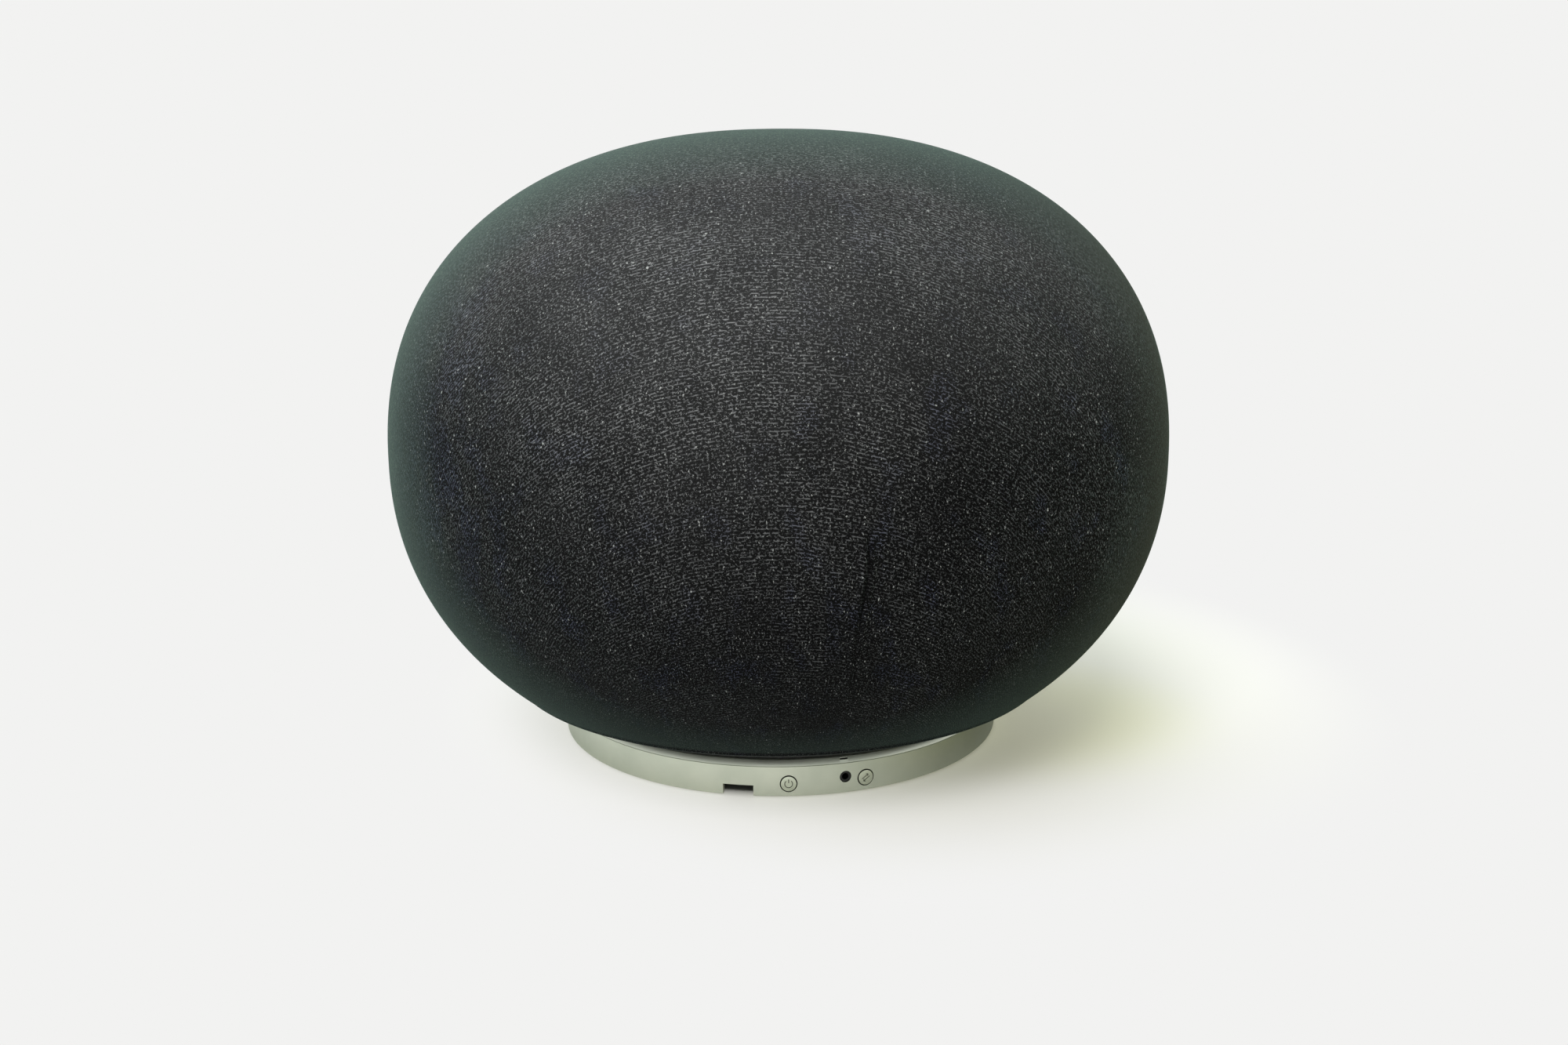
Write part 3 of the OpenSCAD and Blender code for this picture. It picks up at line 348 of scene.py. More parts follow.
def lint(spacing, radius, share):
    """White specks: one in some of the cells, bent by noise so that none is round."""
    bend = add_node(tree, "TexNoise", {"Vector": flat, "Scale": 0.9, "Detail": 1.0},
                    noise_dimensions="2D")
    bent = add_node(tree, "VectorMath", {0: bend.outputs["Color"], 1: (1.6, 1.6, 0), 2: flat},
                    operation="MULTIPLY_ADD")
    cells = add_node(tree, "TexVoronoi", {"Vector": bent, "Scale": 1 / spacing},
                     voronoi_dimensions="2D")
    pick = add_node(tree, "SeparateColor", {0: cells.outputs["Color"]})
    chosen = add_node(tree, "Math", {0: pick, 1: 1 - share}, operation="GREATER_THAN")
    size = add_node(tree, "MapRange", {
        "Value": pick.outputs[1], "To Min": 0.45 * radius / spacing, "To Max": radius / spacing})
    near = add_node(tree, "Math", {0: size, 1: cells.outputs["Distance"]}, operation="SUBTRACT")
    soft = add_node(tree, "MapRange", {"Value": near, "From Max": 0.35 * radius / spacing})
    return add_node(tree, "Math", {0: soft, 1: chosen}, operation="MULTIPLY")


# Thread: stitch rows that wander and fade, and grain between them.
across = add_node(tree, "SeparateXYZ", {0: flat}).outputs[1]
wander = add_node(tree, "Math", {0: cloth_noise(60, 40), 1: 6.0}, operation="MULTIPLY")
row_place = add_node(tree, "Math", {0: across, 1: wander}, operation="ADD")
row_angle = add_node(tree, "Math", {0: row_place, 1: 2 * math.pi / row_pitch},
                     operation="MULTIPLY")
row_wave = add_node(tree, "MapRange", {
    "Value": add_node(tree, "Math", {0: row_angle}, operation="SINE"), "From Min": 0.05})
dashes = add_node(tree, "MapRange", {
    "Value": cloth_noise(3.0, 1.1, 1.0), "From Min": 0.48, "From Max": 0.66})
clear_rows = add_node(tree, "MapRange", {
    "Value": cloth_noise(80, 60), "From Min": 0.36, "From Max": 0.62,
    "To Min": 0.25, "To Max": 0.8})
stitches = add_node(tree, "Math", {0: row_wave, 1: dashes}, operation="MULTIPLY")
shown = add_node(tree, "Math", {0: stitches, 1: clear_rows}, operation="MULTIPLY")
fuzz = add_node(tree, "MapRange", {
    "Value": cloth_noise(1.4, 1.1, 2.0, 0.8), "From Min": 0.58, "From Max": 0.70})
thread = add_node(tree, "Math", {0: shown, 1: fuzz}, operation="MAXIMUM")
# Random bluer patches in the thread, more of them on the left as painted cool light from that
# side.
painted_cool_light_left = add_node(tree, "MapRange", {
    "Value": add_node(tree, "SeparateXYZ", {0: spot}).outputs["X"],
    "From Min": -0.12, "From Max": -0.17, "To Max": 0.22})
blue_share = add_node(tree, "MapRange", {
    "Value": add_node(tree, "Math", {0: cloth_noise(26, 26, 3.0), 1: painted_cool_light_left}, operation="ADD"),
    "From Min": 0.55, "From Max": 0.7, "To Max": 0.8})
lit_thread = add_node(tree, "Mix", {0: blue_share, 6: "#727477", 7: "#6a6f88"},
                      data_type="RGBA")
yarn = add_node(tree, "Mix", {0: thread, 6: "#040405", 7: lit_thread.outputs[2]},
                data_type="RGBA")

# Dust mixed with painted light, lint, and painted shade in the crease's furrow, in layers over the
# yarn.
# A paler patch on the front shoulder: dust, mixed with a painted pool of light.
from_patch = add_node(tree, "VectorMath", {0: spot, 1: (-0.032, -0.16, 0.235)},
                      operation="DISTANCE").outputs["Value"]
in_patch = add_node(tree, "MapRange", {
    "Value": from_patch, "From Min": 0.03, "From Max": 0.15, "To Min": 1.0, "To Max": 0.0},
    interpolation_type="SMOOTHSTEP")
# Paler towards the top of the ball: dust settled there, mixed with painted light from above.
on_top = add_node(tree, "MapRange", {
    "Value": add_node(tree, "SeparateXYZ", {0: spot}).outputs["Z"],
    "From Min": 0.17, "From Max": 0.29, "To Max": 0.8}, interpolation_type="SMOOTHSTEP")
dust_and_light_place = add_node(tree, "Math", {0: in_patch, 1: on_top}, operation="MAXIMUM")
patchy = add_node(tree, "MapRange", {
    "Value": cloth_noise(40, 40, 3.0), "From Min": 0.3, "From Max": 0.7, "To Min": 0.6})
dust_and_light = add_node(tree, "Math", {0: dust_and_light_place, 1: patchy}, operation="MULTIPLY")
caught = add_node(tree, "MapRange", {"Value": thread, "To Min": 0.05, "To Max": 0.9})
# The smooth share on top, outside the thread, is painted light alone.
dust_and_light_share = add_node(tree, "Math", {
    0: add_node(tree, "Math", {0: dust_and_light, 1: caught}, operation="MULTIPLY"),
    1: add_node(tree, "Math", {0: on_top, 1: 0.06}, operation="MULTIPLY")}, operation="ADD")
dusted_and_lit = add_node(tree, "Mix", {0: dust_and_light_share, 6: yarn.outputs[2], 7: "#aeafb1"},
                 data_type="RGBA")
specks = add_node(tree, "Math", {0: lint(3.0, 0.42, 0.35), 1: lint(15, 0.7, 0.3)},
                  operation="MAXIMUM")
speck_share = add_node(tree, "Math", {0: specks, 1: 0.85}, operation="MULTIPLY")
specked = add_node(tree, "Mix", {0: speck_share, 6: dusted_and_lit.outputs[2], 7: "#d8dada"},
                   data_type="RGBA")
# Painted shade: the cloth is painted black along the crease's furrow.
crease_shade_share = add_node(tree, "Math", {
    0: add_node(tree, "Attribute", attribute_name="painted crease shade").outputs["Fac"], 1: 0.85},
    operation="MULTIPLY")
with_crease_shade = add_node(tree, "Mix", {0: crease_shade_share, 6: specked.outputs[2], 7: "#000000"},
                   data_type="RGBA")

# Painted sheen: a paler rim mixed into the base colour where the eye grazes the cloth,
# painted greener on the left, where the room's light falls, and greyer on the right.
painted_sheen_mask = add_node(tree, "MapRange", {
    "Value": add_node(tree, "LayerWeight", {"Blend": 0.5}).outputs["Facing"],
    "From Min": 0.53, "From Max": 0.88})
sheen_colour_left = add_node(tree, "Mix", {0: thread, 6: "#495753", 7: "#76887f"}, data_type="RGBA")
sheen_colour_right = add_node(tree, "Mix", {0: thread, 6: "#3f413c", 7: "#63645d"}, data_type="RGBA")
painted_sheen_rim = add_node(tree, "Mix", {
    0: add_node(tree, "MapRange", {
        "Value": add_node(tree, "SeparateXYZ", {0: spot}).outputs["X"],
        "From Min": 0.1, "From Max": 0.19}),
    6: sheen_colour_left.outputs[2], 7: sheen_colour_right.outputs[2]}, data_type="RGBA")
colour = add_node(tree, "Mix", {0: painted_sheen_mask, 6: with_crease_shade.outputs[2], 7: painted_sheen_rim.outputs[2]},
                  data_type="RGBA")
relief = add_node(tree, "Bump", {
    "Strength": 0.8, "Distance": 0.4 * mm,
    "Height": add_node(tree, "Math", {0: thread, 1: specks}, operation="ADD")})
finish_material(tree, {
    "Base Color": colour.outputs[2], "Roughness": 0.95, "Specular IOR Level": 0.1,
    "Sheen Weight": 0.2, "Sheen Roughness": 0.1, "Sheen Tint": "#b8eeda", "Normal": relief})
cover.data.materials.append(jersey)
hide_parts("fabric_cover")
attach(cover, "speaker")


# Base ring: turned aluminium tube with a chamfer, a lip for the neck and an inner ledge
# for the base plate, milled for the cable, the buttons, the socket and the light, bead
# blasted and anodised. The neck is screwed down on its lip.
def turned(name, profile, segments, capped=False):
    """Turns points (radius, height) about Z, as on a lathe. A capped piece is solid."""
    bpy.ops.mesh.primitive_circle_add(
        vertices=segments, radius=profile[0][0], fill_type="NGON" if capped else "NOTHING",
        location=(0, 0, profile[0][1]))
    piece = bpy.context.object
    piece.name = piece.data.name = name
    bpy.ops.object.transform_apply(location=True)
    bpy.ops.object.mode_set(mode="EDIT")
    for (r0, z0), (r1, z1) in zip(profile, profile[1:]):
        move = {"value": (0, 0, z1 - z0)}
        if capped:
            bpy.ops.mesh.extrude_region_move(TRANSFORM_OT_translate=move)
        else:
            bpy.ops.mesh.extrude_edges_move(TRANSFORM_OT_translate=move)
        bpy.ops.transform.resize(value=(r1 / r0, r1 / r0, 1), center_override=(0, 0, z1))
    bpy.ops.mesh.select_all(action="SELECT")
    bpy.ops.mesh.remove_doubles(threshold=1e-6)
    bpy.ops.mesh.normals_make_consistent(inside=False)
    bpy.ops.object.mode_set(mode="OBJECT")
    return piece


def put(piece, place):
    """Moves a piece's mesh to its place, with its object left at the origin."""
    piece.data.transform(place)
    piece.data.update()


def block(size, centre):
    """A cutter in the shape of a block."""
    bpy.ops.mesh.primitive_cube_add(size=1, location=centre)
    cutter = bpy.context.object
    cutter.scale = size
    bpy.ops.object.transform_apply()
    return cutter


def cut_away(piece, cutter):
    """Cuts the cutter's shape out of a piece, and clears the cutter away."""
    bpy.ops.object.select_all(action="DESELECT")
    bpy.context.view_layer.objects.active = piece
    cut = piece.modifiers.new("cut", "BOOLEAN")
    cut.object = cutter
    cut.solver = "EXACT"
    bpy.ops.object.modifier_apply(modifier=cut.name)
    bpy.data.objects.remove(cutter)


def swept(start, size, first, angle, steps):
    """A block of the given width and height at radius start, swept round Z from first."""
    bpy.ops.mesh.primitive_plane_add(size=1, rotation=(math.radians(90), 0, 0),
                                     location=start)
    piece = bpy.context.object
    piece.scale = (size[0], size[1], 1)
    bpy.ops.object.transform_apply()
    put(piece, Matrix.Rotation(math.radians(first), 4, "Z"))
    bpy.ops.object.mode_set(mode="EDIT")
    bpy.ops.mesh.select_all(action="SELECT")
    bpy.ops.mesh.spin(steps=steps, angle=-math.radians(angle), center=(0, 0, 0), axis=(0, 0, 1))
    bpy.ops.mesh.select_all(action="SELECT")
    bpy.ops.mesh.normals_make_consistent(inside=False)
    bpy.ops.object.mode_set(mode="OBJECT")
    return piece


def smooth(piece, angle=35):
    """Rounds the shading over edges that bend less than angle."""
    bpy.ops.object.select_all(action="DESELECT")
    bpy.context.view_layer.objects.active = piece
    piece.select_set(True)
    bpy.ops.object.shade_smooth_by_angle(angle=math.radians(angle))
    piece.select_set(False)


def finish(piece, material, slot, body, *nodes):
    """Gives a piece its material, and puts it on a body in place of CAD nodes. The slot is not
    used.
    """
    piece.data.materials.clear()
    piece.data.materials.append(material)
    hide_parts(*nodes)
    if body:
        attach(piece, body)


def out_of_ring(azimuth, z):
    """The place of a piece that is drawn along +Z and looks out of the ring's wall."""
    return (Matrix.Rotation(math.radians(azimuth), 4, "Z") @ Matrix.Translation((0, 0, z))
            @ Matrix.Rotation(math.radians(90), 4, "X"))


ring_r, ring_in, lip_in, ring_top = 0.125, 0.1215, 0.116, 0.0202
chamfer_w, chamfer_h, score = 0.0013, 0.0032, 0.00025
foot_proud = 0.0008
base_ring = turned("base_ring_turned", [
    (ring_in, foot_proud), (ring_r - 0.0003, foot_proud), (ring_r, foot_proud + 0.0003),
    (ring_r, ring_top - chamfer_h - score), (ring_r - score, ring_top - chamfer_h),
    (ring_r - 0.0001, ring_top - chamfer_h + 0.0001),
    (ring_r - chamfer_w, ring_top - 0.0003), (ring_r - chamfer_w - 0.0004, ring_top),
    (lip_in + 0.0002, ring_top), (lip_in, ring_top - 0.0002), (lip_in, ring_top - 0.0025),
    (ring_in, ring_top - 0.0025), (ring_in, foot_proud)], 720)
notch_az, notch_w, notch_h = -10.3, 0.016, 0.0065
notch = block((notch_w, 0.012, 2 * notch_h), (0, -0.1235, 0))
put(notch, Matrix.Rotation(math.radians(notch_az), 4, "Z"))
cut_away(base_ring, notch)
button_r, button_z, button_gap = 0.00405, 0.0076, 0.00045
power_az, source_az = 1.7, 20.4
jack_az, jack_z, jack_r = 15.35, 0.0094, 0.00285
for azimuth, z, hole_r in ((power_az, button_z, button_r + button_gap),
                           (source_az, button_z, button_r + button_gap),
                           (jack_az, jack_z, jack_r + 0.0002)):
    hole = turned("hole", [
        (hole_r, 0.118), (hole_r, 0.12482), (hole_r + 0.0005, 0.1255)], 64, capped=True)
    put(hole, out_of_ring(azimuth, z))
    cut_away(base_ring, hole)
light_az, light_w, light_h, light_z = 15.0, 0.0042, 0.0009, 0.01905
light_slot = block((light_w, 0.012, light_h), (0, -0.1205, light_z))
put(light_slot, Matrix.Rotation(math.radians(light_az), 4, "Z"))
cut_away(base_ring, light_slot)
ledge = swept((0.1204, 0, 0.0035), (0.0028, 0.0018), -60, 300, 120)
bpy.ops.object.select_all(action="DESELECT")
ledge.select_set(True)
base_ring.select_set(True)
bpy.context.view_layer.objects.active = base_ring
bpy.ops.object.join()
smooth(base_ring)

# Bead blasted aluminium with a clear anodised skin: a soft pale grey without direction,
# a fine tooth in the highlights, and faint smudges from hands.
blasted, tree, spot = start_material("satin anodised aluminium")
tooth = add_node(tree, "TexNoise", {"Vector": spot, "Scale": 1 / (0.5 * mm), "Detail": 2.0})
smudges = add_node(tree, "TexNoise", {"Vector": spot, "Scale": 1 / (22 * mm), "Detail": 4.0})
tone = add_node(tree, "Mix", {
    0: add_node(tree, "MapRange", {"Value": smudges, "From Min": 0.35, "From Max": 0.7}),
    6: "#d4d9cb", 7: "#cad0c2"}, data_type="RGBA")
gloss = add_node(tree, "MapRange", {
    "Value": smudges, "From Min": 0.3, "From Max": 0.7, "To Min": 0.36, "To Max": 0.46})
relief = add_node(tree, "Bump", {"Strength": 0.25, "Distance": 0.03 * mm, "Height": tooth})
finish_material(tree, {
    "Base Color": tone.outputs[2], "Metallic": 1.0, "Roughness": gloss, "Normal": relief})
finish(base_ring, blasted, "satin_aluminium", "speaker", "base_ring")

# Buttons: two small turned aluminium caps that stand just proud of the ring, each with a
# flange behind the wall and a stem for its switch. Their marks are engraved and dark.
button_face = ring_r + 0.00035
flange_r, stem_r = 0.0049, 0.0012
mark_deep, mark_w = 0.0003, 0.00045


def button_cap(name):
    """One cap along +Z, with its face outwards, before its mark is cut."""
    return turned(name, [
        (button_r - 0.0003, button_face), (button_r - 0.0001, button_face - 0.00008),
        (button_r, button_face - 0.0003), (button_r, 0.1212), (flange_r, 0.1212),
        (flange_r, 0.12), (stem_r, 0.12), (stem_r, 0.1182)], 96, capped=True)


def groove(length, width, place):
    """A cutter for one straight line of a mark, drawn from the place's origin along X."""
    line = block((length, width, 2 * mark_deep), (length / 2, 0, button_face))
    put(line, place)
    return line


power = button_cap("power_button_cap")
cut_away(power, swept((0.002, 0, button_face), (mark_w, 2 * mark_deep), 128, 284, 48))
cut_away(power, groove(0.002, mark_w, Matrix.Translation((0, 0.0005, 0))
                       @ Matrix.Rotation(math.radians(90), 4, "Z")))
put(power, out_of_ring(power_az, button_z))
smooth(power)

source = button_cap("source_button_cap")
for way in (0, 180):
    arrow = (Matrix.Rotation(math.radians(35 + way), 4, "Z")
             @ Matrix.Translation((0, 0.00075, 0)))
    cut_away(source, groove(0.0042, 0.0004, arrow @ Matrix.Translation((-0.0021, 0, 0))))
    for barb in (138, 222):
        cut_away(source, groove(0.0013, 0.0004, arrow @ Matrix.Translation((0.0021, 0, 0))
                                @ Matrix.Rotation(math.radians(barb), 4, "Z")))
put(source, out_of_ring(source_az, button_z))
smooth(source)

# Turned aluminium, anodised like the ring but finer, with dark paint in the engraving.
cap_metal, tree, spot = start_material("fine turned aluminium")
tooth = add_node(tree, "TexNoise", {"Vector": spot, "Scale": 1 / (0.3 * mm), "Detail": 1.0})
grip = add_node(tree, "MapRange", {"Value": tooth, "To Min": 0.28, "To Max": 0.4})
from_axis = add_node(tree, "VectorMath", {0: spot, 1: (1, 1, 0)}, operation="MULTIPLY")
depth = add_node(tree, "VectorMath", {0: from_axis}, operation="LENGTH").outputs["Value"]
engraved = add_node(tree, "MapRange", {
    "Value": depth, "From Min": button_face - 0.00018, "From Max": button_face - 0.00026})
tone = add_node(tree, "Mix", {0: engraved, 6: "#cdd3c2", 7: "#55584e"}, data_type="RGBA")
finish_material(tree, {"Base Color": tone.outputs[2], "Metallic": 1.0, "Roughness": grip})
finish(power, cap_metal, "button_aluminium", "power_button_body", "power_button")
finish(source, cap_metal, "button_aluminium", "source_button_body", "source_button")


# Black plastic pieces: neck, flare, base plate, hem ring, audio socket, mains inlet, bass
# port and tweeter housings, all moulded in black ABS with a fine spark eroded grain.
def dress(material, slot):
    """Gives a material to the CAD pieces of one material slot."""
    for part in frame["record"]["subparts"]:
        if part["material_slot"] == slot:
            mesh = frame["nodes"][part["node"]].data
            mesh.materials.clear()
            mesh.materials.append(material)


black_abs, tree, spot = start_material("black moulded ABS")
grain = add_node(tree, "TexNoise", {"Vector": spot, "Scale": 1 / (0.6 * mm), "Detail": 3.0})
cloudy = add_node(tree, "TexNoise", {"Vector": spot, "Scale": 1 / (30 * mm), "Detail": 2.0})
tone = add_node(tree, "Mix", {0: cloudy, 6: "#0a0b0b", 7: "#131414"}, data_type="RGBA")
relief = add_node(tree, "Bump", {"Strength": 0.35, "Distance": 0.06 * mm, "Height": grain})
finish_material(tree, {
    "Base Color": tone.outputs[2], "Roughness": 0.5, "IOR": 1.53, "Normal": relief})
dress(black_abs, "black_plastic")

# Status light: a smoked acrylic guide that fills its slot, glossy, nearly black when off.
smoked, tree, spot = start_material("smoked acrylic")
haze = add_node(tree, "TexNoise", {"Vector": spot, "Scale": 1 / (0.8 * mm)})
finish_material(tree, {
    "Base Color": add_node(tree, "Mix", {0: haze, 6: "#0a0a0b", 7: "#151416"},
                           data_type="RGBA").outputs[2],
    "Roughness": 0.15, "IOR": 1.49})
dress(smoked, "light_window")

# Foot and gasket: moulded rubber, dull, with dust in its pores.
rubber, tree, spot = start_material("moulded nitrile rubber")
pores = add_node(tree, "TexNoise", {"Vector": spot, "Scale": 1 / (1.2 * mm), "Detail": 5.0})
bloom = add_node(tree, "MapRange", {"Value": pores, "From Min": 0.55, "From Max": 0.8})
tone = add_node(tree, "Mix", {0: bloom, 6: "#1f1f20", 7: "#3a3a39"}, data_type="RGBA")
relief = add_node(tree, "Bump", {"Strength": 0.3, "Distance": 0.08 * mm, "Height": pores})
finish_material(tree, {
    "Base Color": tone.outputs[2], "Roughness": 0.85, "IOR": 1.52, "Normal": relief})
dress(rubber, "foot_rubber")

# Chassis plate and screws: steel, zinc plated, with a faint yellow and blue cast. The
# driver and hem screws are blackened instead.
for name, slot, pale_tone, warm_tone, roughest in (
        ("zinc plated steel sheet", "chassis_steel", "#a9abad", "#9d9b90", 0.42),
        ("zinc plated steel screws", "screw_steel", "#c4c6c8", "#b6b3a4", 0.34),
        ("blackened steel screws", "black_steel", "#2b2c2e", "#202022", 0.5)):
    steel, tree, spot = start_material(name)
    cast = add_node(tree, "TexNoise", {"Vector": spot, "Scale": 1 / (9 * mm), "Detail": 3.0})
    rolled = add_node(tree, "TexNoise", {
        "Vector": add_node(tree, "Mapping", {"Vector": spot, "Scale": (60, 2500, 2500)}),
        "Scale": 1.0, "Detail": 2.0})
    tone = add_node(tree, "Mix", {0: cast, 6: pale_tone, 7: warm_tone}, data_type="RGBA")
    finish_material(tree, {
        "Base Color": tone.outputs[2], "Metallic": 1.0,
        "Roughness": add_node(tree, "MapRange", {
            "Value": rolled, "To Min": roughest - 0.12, "To Max": roughest})})
    dress(steel, slot)

# Grille and enclosure: glass filled ABS, a little paler than the small mouldings, with
# flow marks; the grille is matt so that nothing shines through the cloth.
for name, slot, dark_tone, pale_tone, roughness in (
        ("matt grille ABS", "grille_plastic", "#232425", "#2c2d2f", 0.75),
        ("glass filled enclosure ABS", "enclosure_plastic", "#333436", "#404144", 0.55)):
    moulding, tree, spot = start_material(name)
    flow = add_node(tree, "TexNoise", {
        "Vector": spot, "Scale": 1 / (25 * mm), "Detail": 4.0, "Distortion": 1.5})
    fibres = add_node(tree, "TexNoise", {"Vector": spot, "Scale": 1 / (0.9 * mm)})
    tone = add_node(tree, "Mix", {0: flow, 6: dark_tone, 7: pale_tone}, data_type="RGBA")
    relief = add_node(tree, "Bump", {
        "Strength": 0.3, "Distance": 0.08 * mm, "Height": fibres})
    finish_material(tree, {
        "Base Color": tone.outputs[2], "Roughness": roughness, "IOR": 1.54,
        "Normal": relief})
    dress(moulding, slot)

# Wadding: a lining of loose polyester fibre laid inside the rear half of the enclosure,
# white, soft and uneven. It starts from the lining's own space, drawn in by the lumps.
lining = bpy.data.objects.new("fibre_lining", frame["nodes"]["damping_wadding"].data.copy())
bpy.context.scene.collection.objects.link(lining)
bpy.context.view_layer.objects.active = lining
lining.select_set(True)
bpy.ops.object.mode_set(mode="EDIT")
bpy.ops.mesh.select_all(action="SELECT")
bpy.ops.mesh.remove_doubles(threshold=1e-6)
bpy.ops.object.mode_set(mode="OBJECT")
fleece = lining.modifiers.new("even mesh", "REMESH")
fleece.mode = "VOXEL"
fleece.voxel_size = 0.003
bpy.ops.object.modifier_apply(modifier=fleece.name)
lumps = lining.modifiers.new("lumps", "DISPLACE")
lumps.texture = bpy.data.textures.new("fibre lumps", "CLOUDS")
lumps.texture.noise_scale = 0.02
lumps.strength = 0.005
lumps.mid_level = 1.0
bpy.ops.object.modifier_apply(modifier=lumps.name)
bpy.ops.object.shade_smooth()
fibre, tree, spot = start_material("loose polyester fibre")
strands = add_node(tree, "TexNoise", {
    "Vector": spot, "Scale": 1 / (2.5 * mm), "Detail": 5.0, "Distortion": 3.0})
tone = add_node(tree, "Mix", {0: strands, 6: "#b9b7b0", 7: "#eceae4"}, data_type="RGBA")
relief = add_node(tree, "Bump", {"Strength": 0.8, "Distance": 1.0 * mm, "Height": strands})
finish_material(tree, {
    "Base Color": tone.outputs[2], "Roughness": 1.0, "Sheen Weight": 0.3, "Normal": relief})
finish(lining, fibre, "wadding", "speaker", "damping_wadding")

# Drivers: each has a powder coated basket, a ferrite magnet, a pressed paper cone with a
# dust cap and a copper coil. They are screwed to the flats of the enclosure.
basket, tree, spot = start_material("powder coated steel")
peel = add_node(tree, "TexNoise", {"Vector": spot, "Scale": 1 / (1.5 * mm), "Detail": 2.0})
tone = add_node(tree, "Mix", {0: peel, 6: "#404143", 7: "#4d4e51"}, data_type="RGBA")
relief = add_node(tree, "Bump", {"Strength": 0.5, "Distance": 0.1 * mm, "Height": peel})
finish_material(tree, {"Base Color": tone.outputs[2], "Roughness": 0.5, "Normal": relief})
dress(basket, "basket_metal")

ferrite, tree, spot = start_material("ground ferrite")
ground = add_node(tree, "TexNoise", {
    "Vector": add_node(tree, "Mapping", {"Vector": spot, "Scale": (300, 300, 4000)}),
    "Scale": 1.0, "Detail": 3.0})
tone = add_node(tree, "Mix", {0: ground, 6: "#4a4c50", 7: "#6d7074"}, data_type="RGBA")
finish_material(tree, {
    "Base Color": tone.outputs[2], "Metallic": 0.3,
    "Roughness": add_node(tree, "MapRange", {"Value": ground, "To Min": 0.35, "To Max": 0.6})})
dress(ferrite, "magnet_ferrite")

paper, tree, spot = start_material("pressed paper fibre")
felt = add_node(tree, "TexNoise", {
    "Vector": spot, "Scale": 1 / (3 * mm), "Detail": 6.0, "Distortion": 2.5})
tone = add_node(tree, "Mix", {0: felt, 6: "#1b1b1c", 7: "#353536"}, data_type="RGBA")
relief = add_node(tree, "Bump", {"Strength": 0.6, "Distance": 0.15 * mm, "Height": felt})
finish_material(tree, {"Base Color": tone.outputs[2], "Roughness": 0.9, "Normal": relief})
dress(paper, "cone_black")

copper, tree, spot = start_material("enamelled copper wire")
turns = add_node(tree, "TexNoise", {"Vector": spot, "Scale": 1 / (0.5 * mm), "Detail": 1.0})
tone = add_node(tree, "Mix", {0: turns, 6: "#8c4a24", 7: "#cf8350"}, data_type="RGBA")
finish_material(tree, {"Base Color": tone.outputs[2], "Metallic": 1.0, "Roughness": 0.32})
dress(copper, "coil_copper")

silk, tree, spot = start_material("coated silk")
weave = add_node(tree, "TexVoronoi", {"Vector": spot, "Scale": 1 / (0.4 * mm)},
                 feature="SMOOTH_F1")
tone = add_node(tree, "Mix", {0: weave.outputs["Distance"], 6: "#2f3035", 7: "#1b1b1f"},
                data_type="RGBA")
relief = add_node(tree, "Bump", {
    "Strength": 0.4, "Distance": 0.05 * mm, "Height": weave.outputs["Distance"]})
finish_material(tree, {"Base Color": tone.outputs[2], "Roughness": 0.5, "Normal": relief})
dress(silk, "dome_silk")

# Surrounds and spiders: a half roll of butyl rubber joins each cone to its basket, and a
# corrugated disc of resin dipped cotton centres its coil. In the speaker both flex with the
# cone; here each is built once, at rest.
butyl, tree, spot = start_material("butyl rubber")
skin = add_node(tree, "TexNoise", {"Vector": spot, "Scale": 1 / (0.7 * mm), "Detail": 3.0})
tone = add_node(tree, "Mix", {0: skin, 6: "#0c0c0c", 7: "#191919"}, data_type="RGBA")
relief = add_node(tree, "Bump", {"Strength": 0.25, "Distance": 0.05 * mm, "Height": skin})
finish_material(tree, {
    "Base Color": tone.outputs[2], "Roughness": 0.6, "IOR": 1.52, "Normal": relief})
cotton, tree, spot = start_material("resin dipped cotton")
warp = add_node(tree, "TexWave", {"Vector": spot, "Scale": 1 / (3 * mm), "Distortion": 0.3},
                bands_direction="X")
weft = add_node(tree, "TexWave", {"Vector": spot, "Scale": 1 / (3 * mm), "Distortion": 0.3},
                bands_direction="Z")
threads = add_node(tree, "Math", {0: warp, 1: weft}, operation="MAXIMUM")
tone = add_node(tree, "Mix", {0: threads, 6: "#7d6536", 7: "#c9a963"}, data_type="RGBA")
relief = add_node(tree, "Bump", {"Strength": 0.5, "Distance": 0.1 * mm, "Height": threads})
finish_material(tree, {"Base Color": tone.outputs[2], "Roughness": 0.8, "Normal": relief})

roll_steps = 12
half_roll = [(math.cos(math.pi * n / roll_steps), math.sin(math.pi * n / roll_steps))
             for n in range(roll_steps + 1)]
surround_profile = (
    [(68.2, 4.1), (68.2, 4.9), (66.2, 4.9)]
    + [(62.1 + 4.1 * c, 5 + 4.1 * s) for c, s in half_roll]
    + [(58, -8), (58.8, -8)]
    + [(62.1 + 3.3 * c, 5 + 3.3 * s) for c, s in reversed(half_roll)]
    + [(65.4, 4.1), (68.2, 4.1)])
waves, wave_steps = 5, 8
spider_top = []
for n in range(waves * wave_steps + 1):
    t = n / (waves * wave_steps)
    spider_top.append((45 - 28 * t, -40.9 + 3 * t + 0.6 * (1 - math.cos(2 * math.pi * waves * t))))
spider_profile = (
    spider_top + [(16, -37.9), (16, -37.1)]
    + [(r, z + 0.8) for r, z in reversed(spider_top)] + [spider_top[0]])
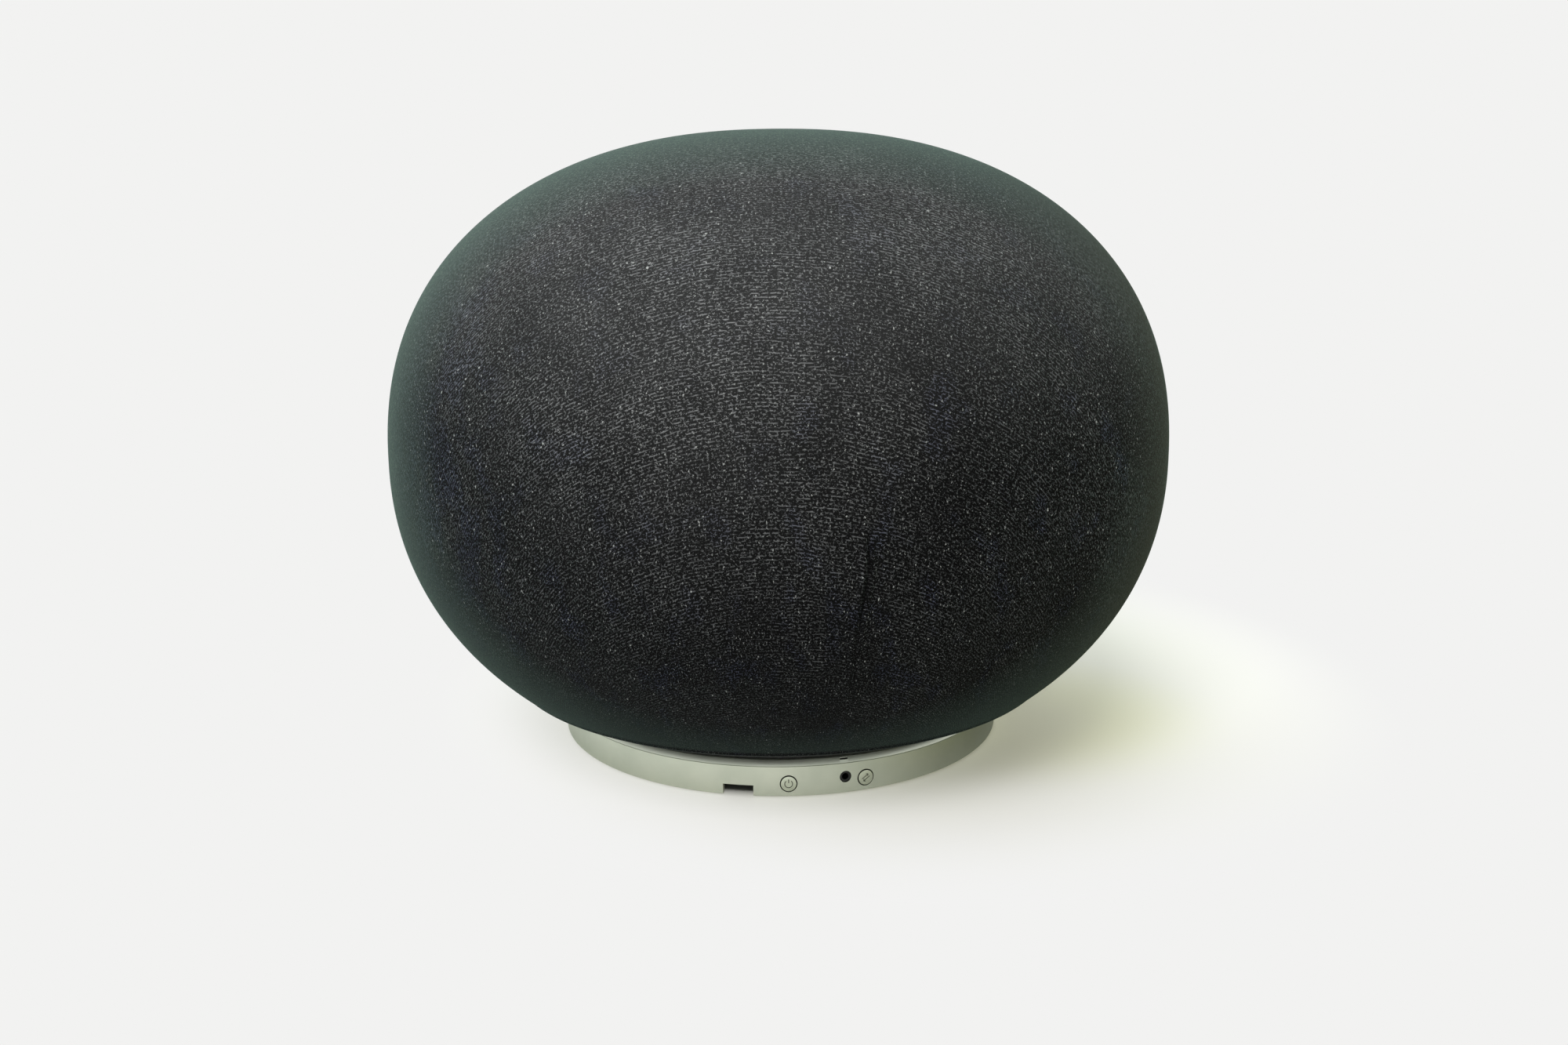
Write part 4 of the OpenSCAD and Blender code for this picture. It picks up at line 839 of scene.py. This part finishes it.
for driver, k, azimuth, out, z in (
        ("woofer", 1.0, 0, 0.125, 0.155), ("mid_left", 40 / 76, -60, 0.138, 0.150),
        ("mid_right", 40 / 76, 60, 0.138, 0.150)):
    place = (Matrix.Rotation(math.radians(azimuth), 4, "Z") @ Matrix.Translation((0, out, z))
             @ Matrix.Rotation(math.radians(-90), 4, "X"))
    for kind, profile, still, moved, material, slot in (
            ("surround", surround_profile, 4, -6, butyl, "surround_rubber"),
            ("spider", spider_profile, -41, -38, cotton, "spider_cloth")):
        flexing = turned(f"{driver}_{kind}_flexing",
                         [(r * k * mm, h * k * mm) for r, h in profile], 128)
        put(flexing, place)
        smooth(flexing, 50)
        finish(flexing, material, slot, None, f"{driver}_{kind}")
        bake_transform(flexing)

# Electronics: glass fibre boards under green or blue solder mask, with tracks that show
# through as paler lines, and the parts that stand on them.
for name, slot, mask, track in (
        ("green solder mask", "board_green", "#174a2e", "#2b7349"),
        ("blue solder mask", "board_blue", "#143a5c", "#266294")):
    board, tree, spot = start_material(name)
    plan = add_node(tree, "TexVoronoi", {"Vector": spot, "Scale": 1 / (5 * mm)},
                    feature="DISTANCE_TO_EDGE")
    tracks = add_node(tree, "MapRange", {
        "Value": plan.outputs["Distance"], "From Min": 0.05, "From Max": 0.08,
        "To Min": 1.0, "To Max": 0.0})
    tone = add_node(tree, "Mix", {0: tracks, 6: mask, 7: track}, data_type="RGBA")
    relief = add_node(tree, "Bump", {"Strength": 0.4, "Distance": 0.04 * mm, "Height": tracks})
    finish_material(tree, {
        "Base Color": tone.outputs[2], "Roughness": 0.3, "IOR": 1.55, "Normal": relief})
    dress(board, slot)

# Transformer: yellow polyester tape over the winding, between halves of dark ferrite.
winding, tree, spot = start_material("taped winding and ferrite core")
level = add_node(tree, "SeparateXYZ", {0: spot}).outputs["Z"]
foot_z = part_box("transformer")[0][2]
tape_from, tape_to = foot_z + 0.0052, foot_z + 0.0138
above = add_node(tree, "Math", {0: level, 1: tape_from}, operation="GREATER_THAN")
below = add_node(tree, "Math", {0: level, 1: tape_to}, operation="LESS_THAN")
taped = add_node(tree, "Math", {0: above, 1: below}, operation="MULTIPLY")
wraps = add_node(tree, "TexNoise", {"Vector": spot, "Scale": 1 / (4 * mm), "Detail": 2.0})
tape = add_node(tree, "Mix", {0: wraps, 6: "#b58a1e", 7: "#dcb545"}, data_type="RGBA")
tone = add_node(tree, "Mix", {0: taped, 6: "#3a3a3d", 7: tape.outputs[2]}, data_type="RGBA")
finish_material(tree, {"Base Color": tone.outputs[2], "Roughness": 0.4})
dress(winding, "transformer_yellow")

# Capacitors: aluminium cans in a dark blue shrink sleeve, bare on top.
sleeve, tree, spot = start_material("shrink sleeve on an aluminium can")
facing_up = add_node(tree, "SeparateXYZ", {
    0: add_node(tree, "TexCoord").outputs["Normal"]}).outputs["Z"]
bare = add_node(tree, "MapRange", {"Value": facing_up, "From Min": 0.8, "From Max": 0.9})
ripple = add_node(tree, "TexNoise", {"Vector": spot, "Scale": 1 / (3 * mm), "Detail": 2.0})
film = add_node(tree, "Mix", {0: ripple, 6: "#14163a", 7: "#23275a"}, data_type="RGBA")
tone = add_node(tree, "Mix", {0: bare, 6: film.outputs[2], 7: "#b9bbbd"}, data_type="RGBA")
finish_material(tree, {
    "Base Color": tone.outputs[2], "Metallic": bare, "Roughness": 0.28})
dress(sleeve, "capacitor_sleeve")

# Heat sink and inlet pins: extruded aluminium with drawing lines along its fins, and
# nickel plated brass.
for name, slot, tone_a, tone_b, along in (
        ("extruded aluminium", "heat_sink_aluminium", "#8f9193", "#a9abad", (4000, 60, 4000)),
        ("nickel plated brass", "pin_brass", "#b9a46a", "#d8cda4", (900, 900, 900))):
    drawn, tree, spot = start_material(name)
    lines = add_node(tree, "TexNoise", {
        "Vector": add_node(tree, "Mapping", {"Vector": spot, "Scale": along}),
        "Scale": 1.0, "Detail": 2.0})
    tone = add_node(tree, "Mix", {0: lines, 6: tone_a, 7: tone_b}, data_type="RGBA")
    finish_material(tree, {
        "Base Color": tone.outputs[2], "Metallic": 1.0,
        "Roughness": add_node(tree, "MapRange", {
            "Value": lines, "To Min": 0.25, "To Max": 0.45})})
    dress(drawn, slot)
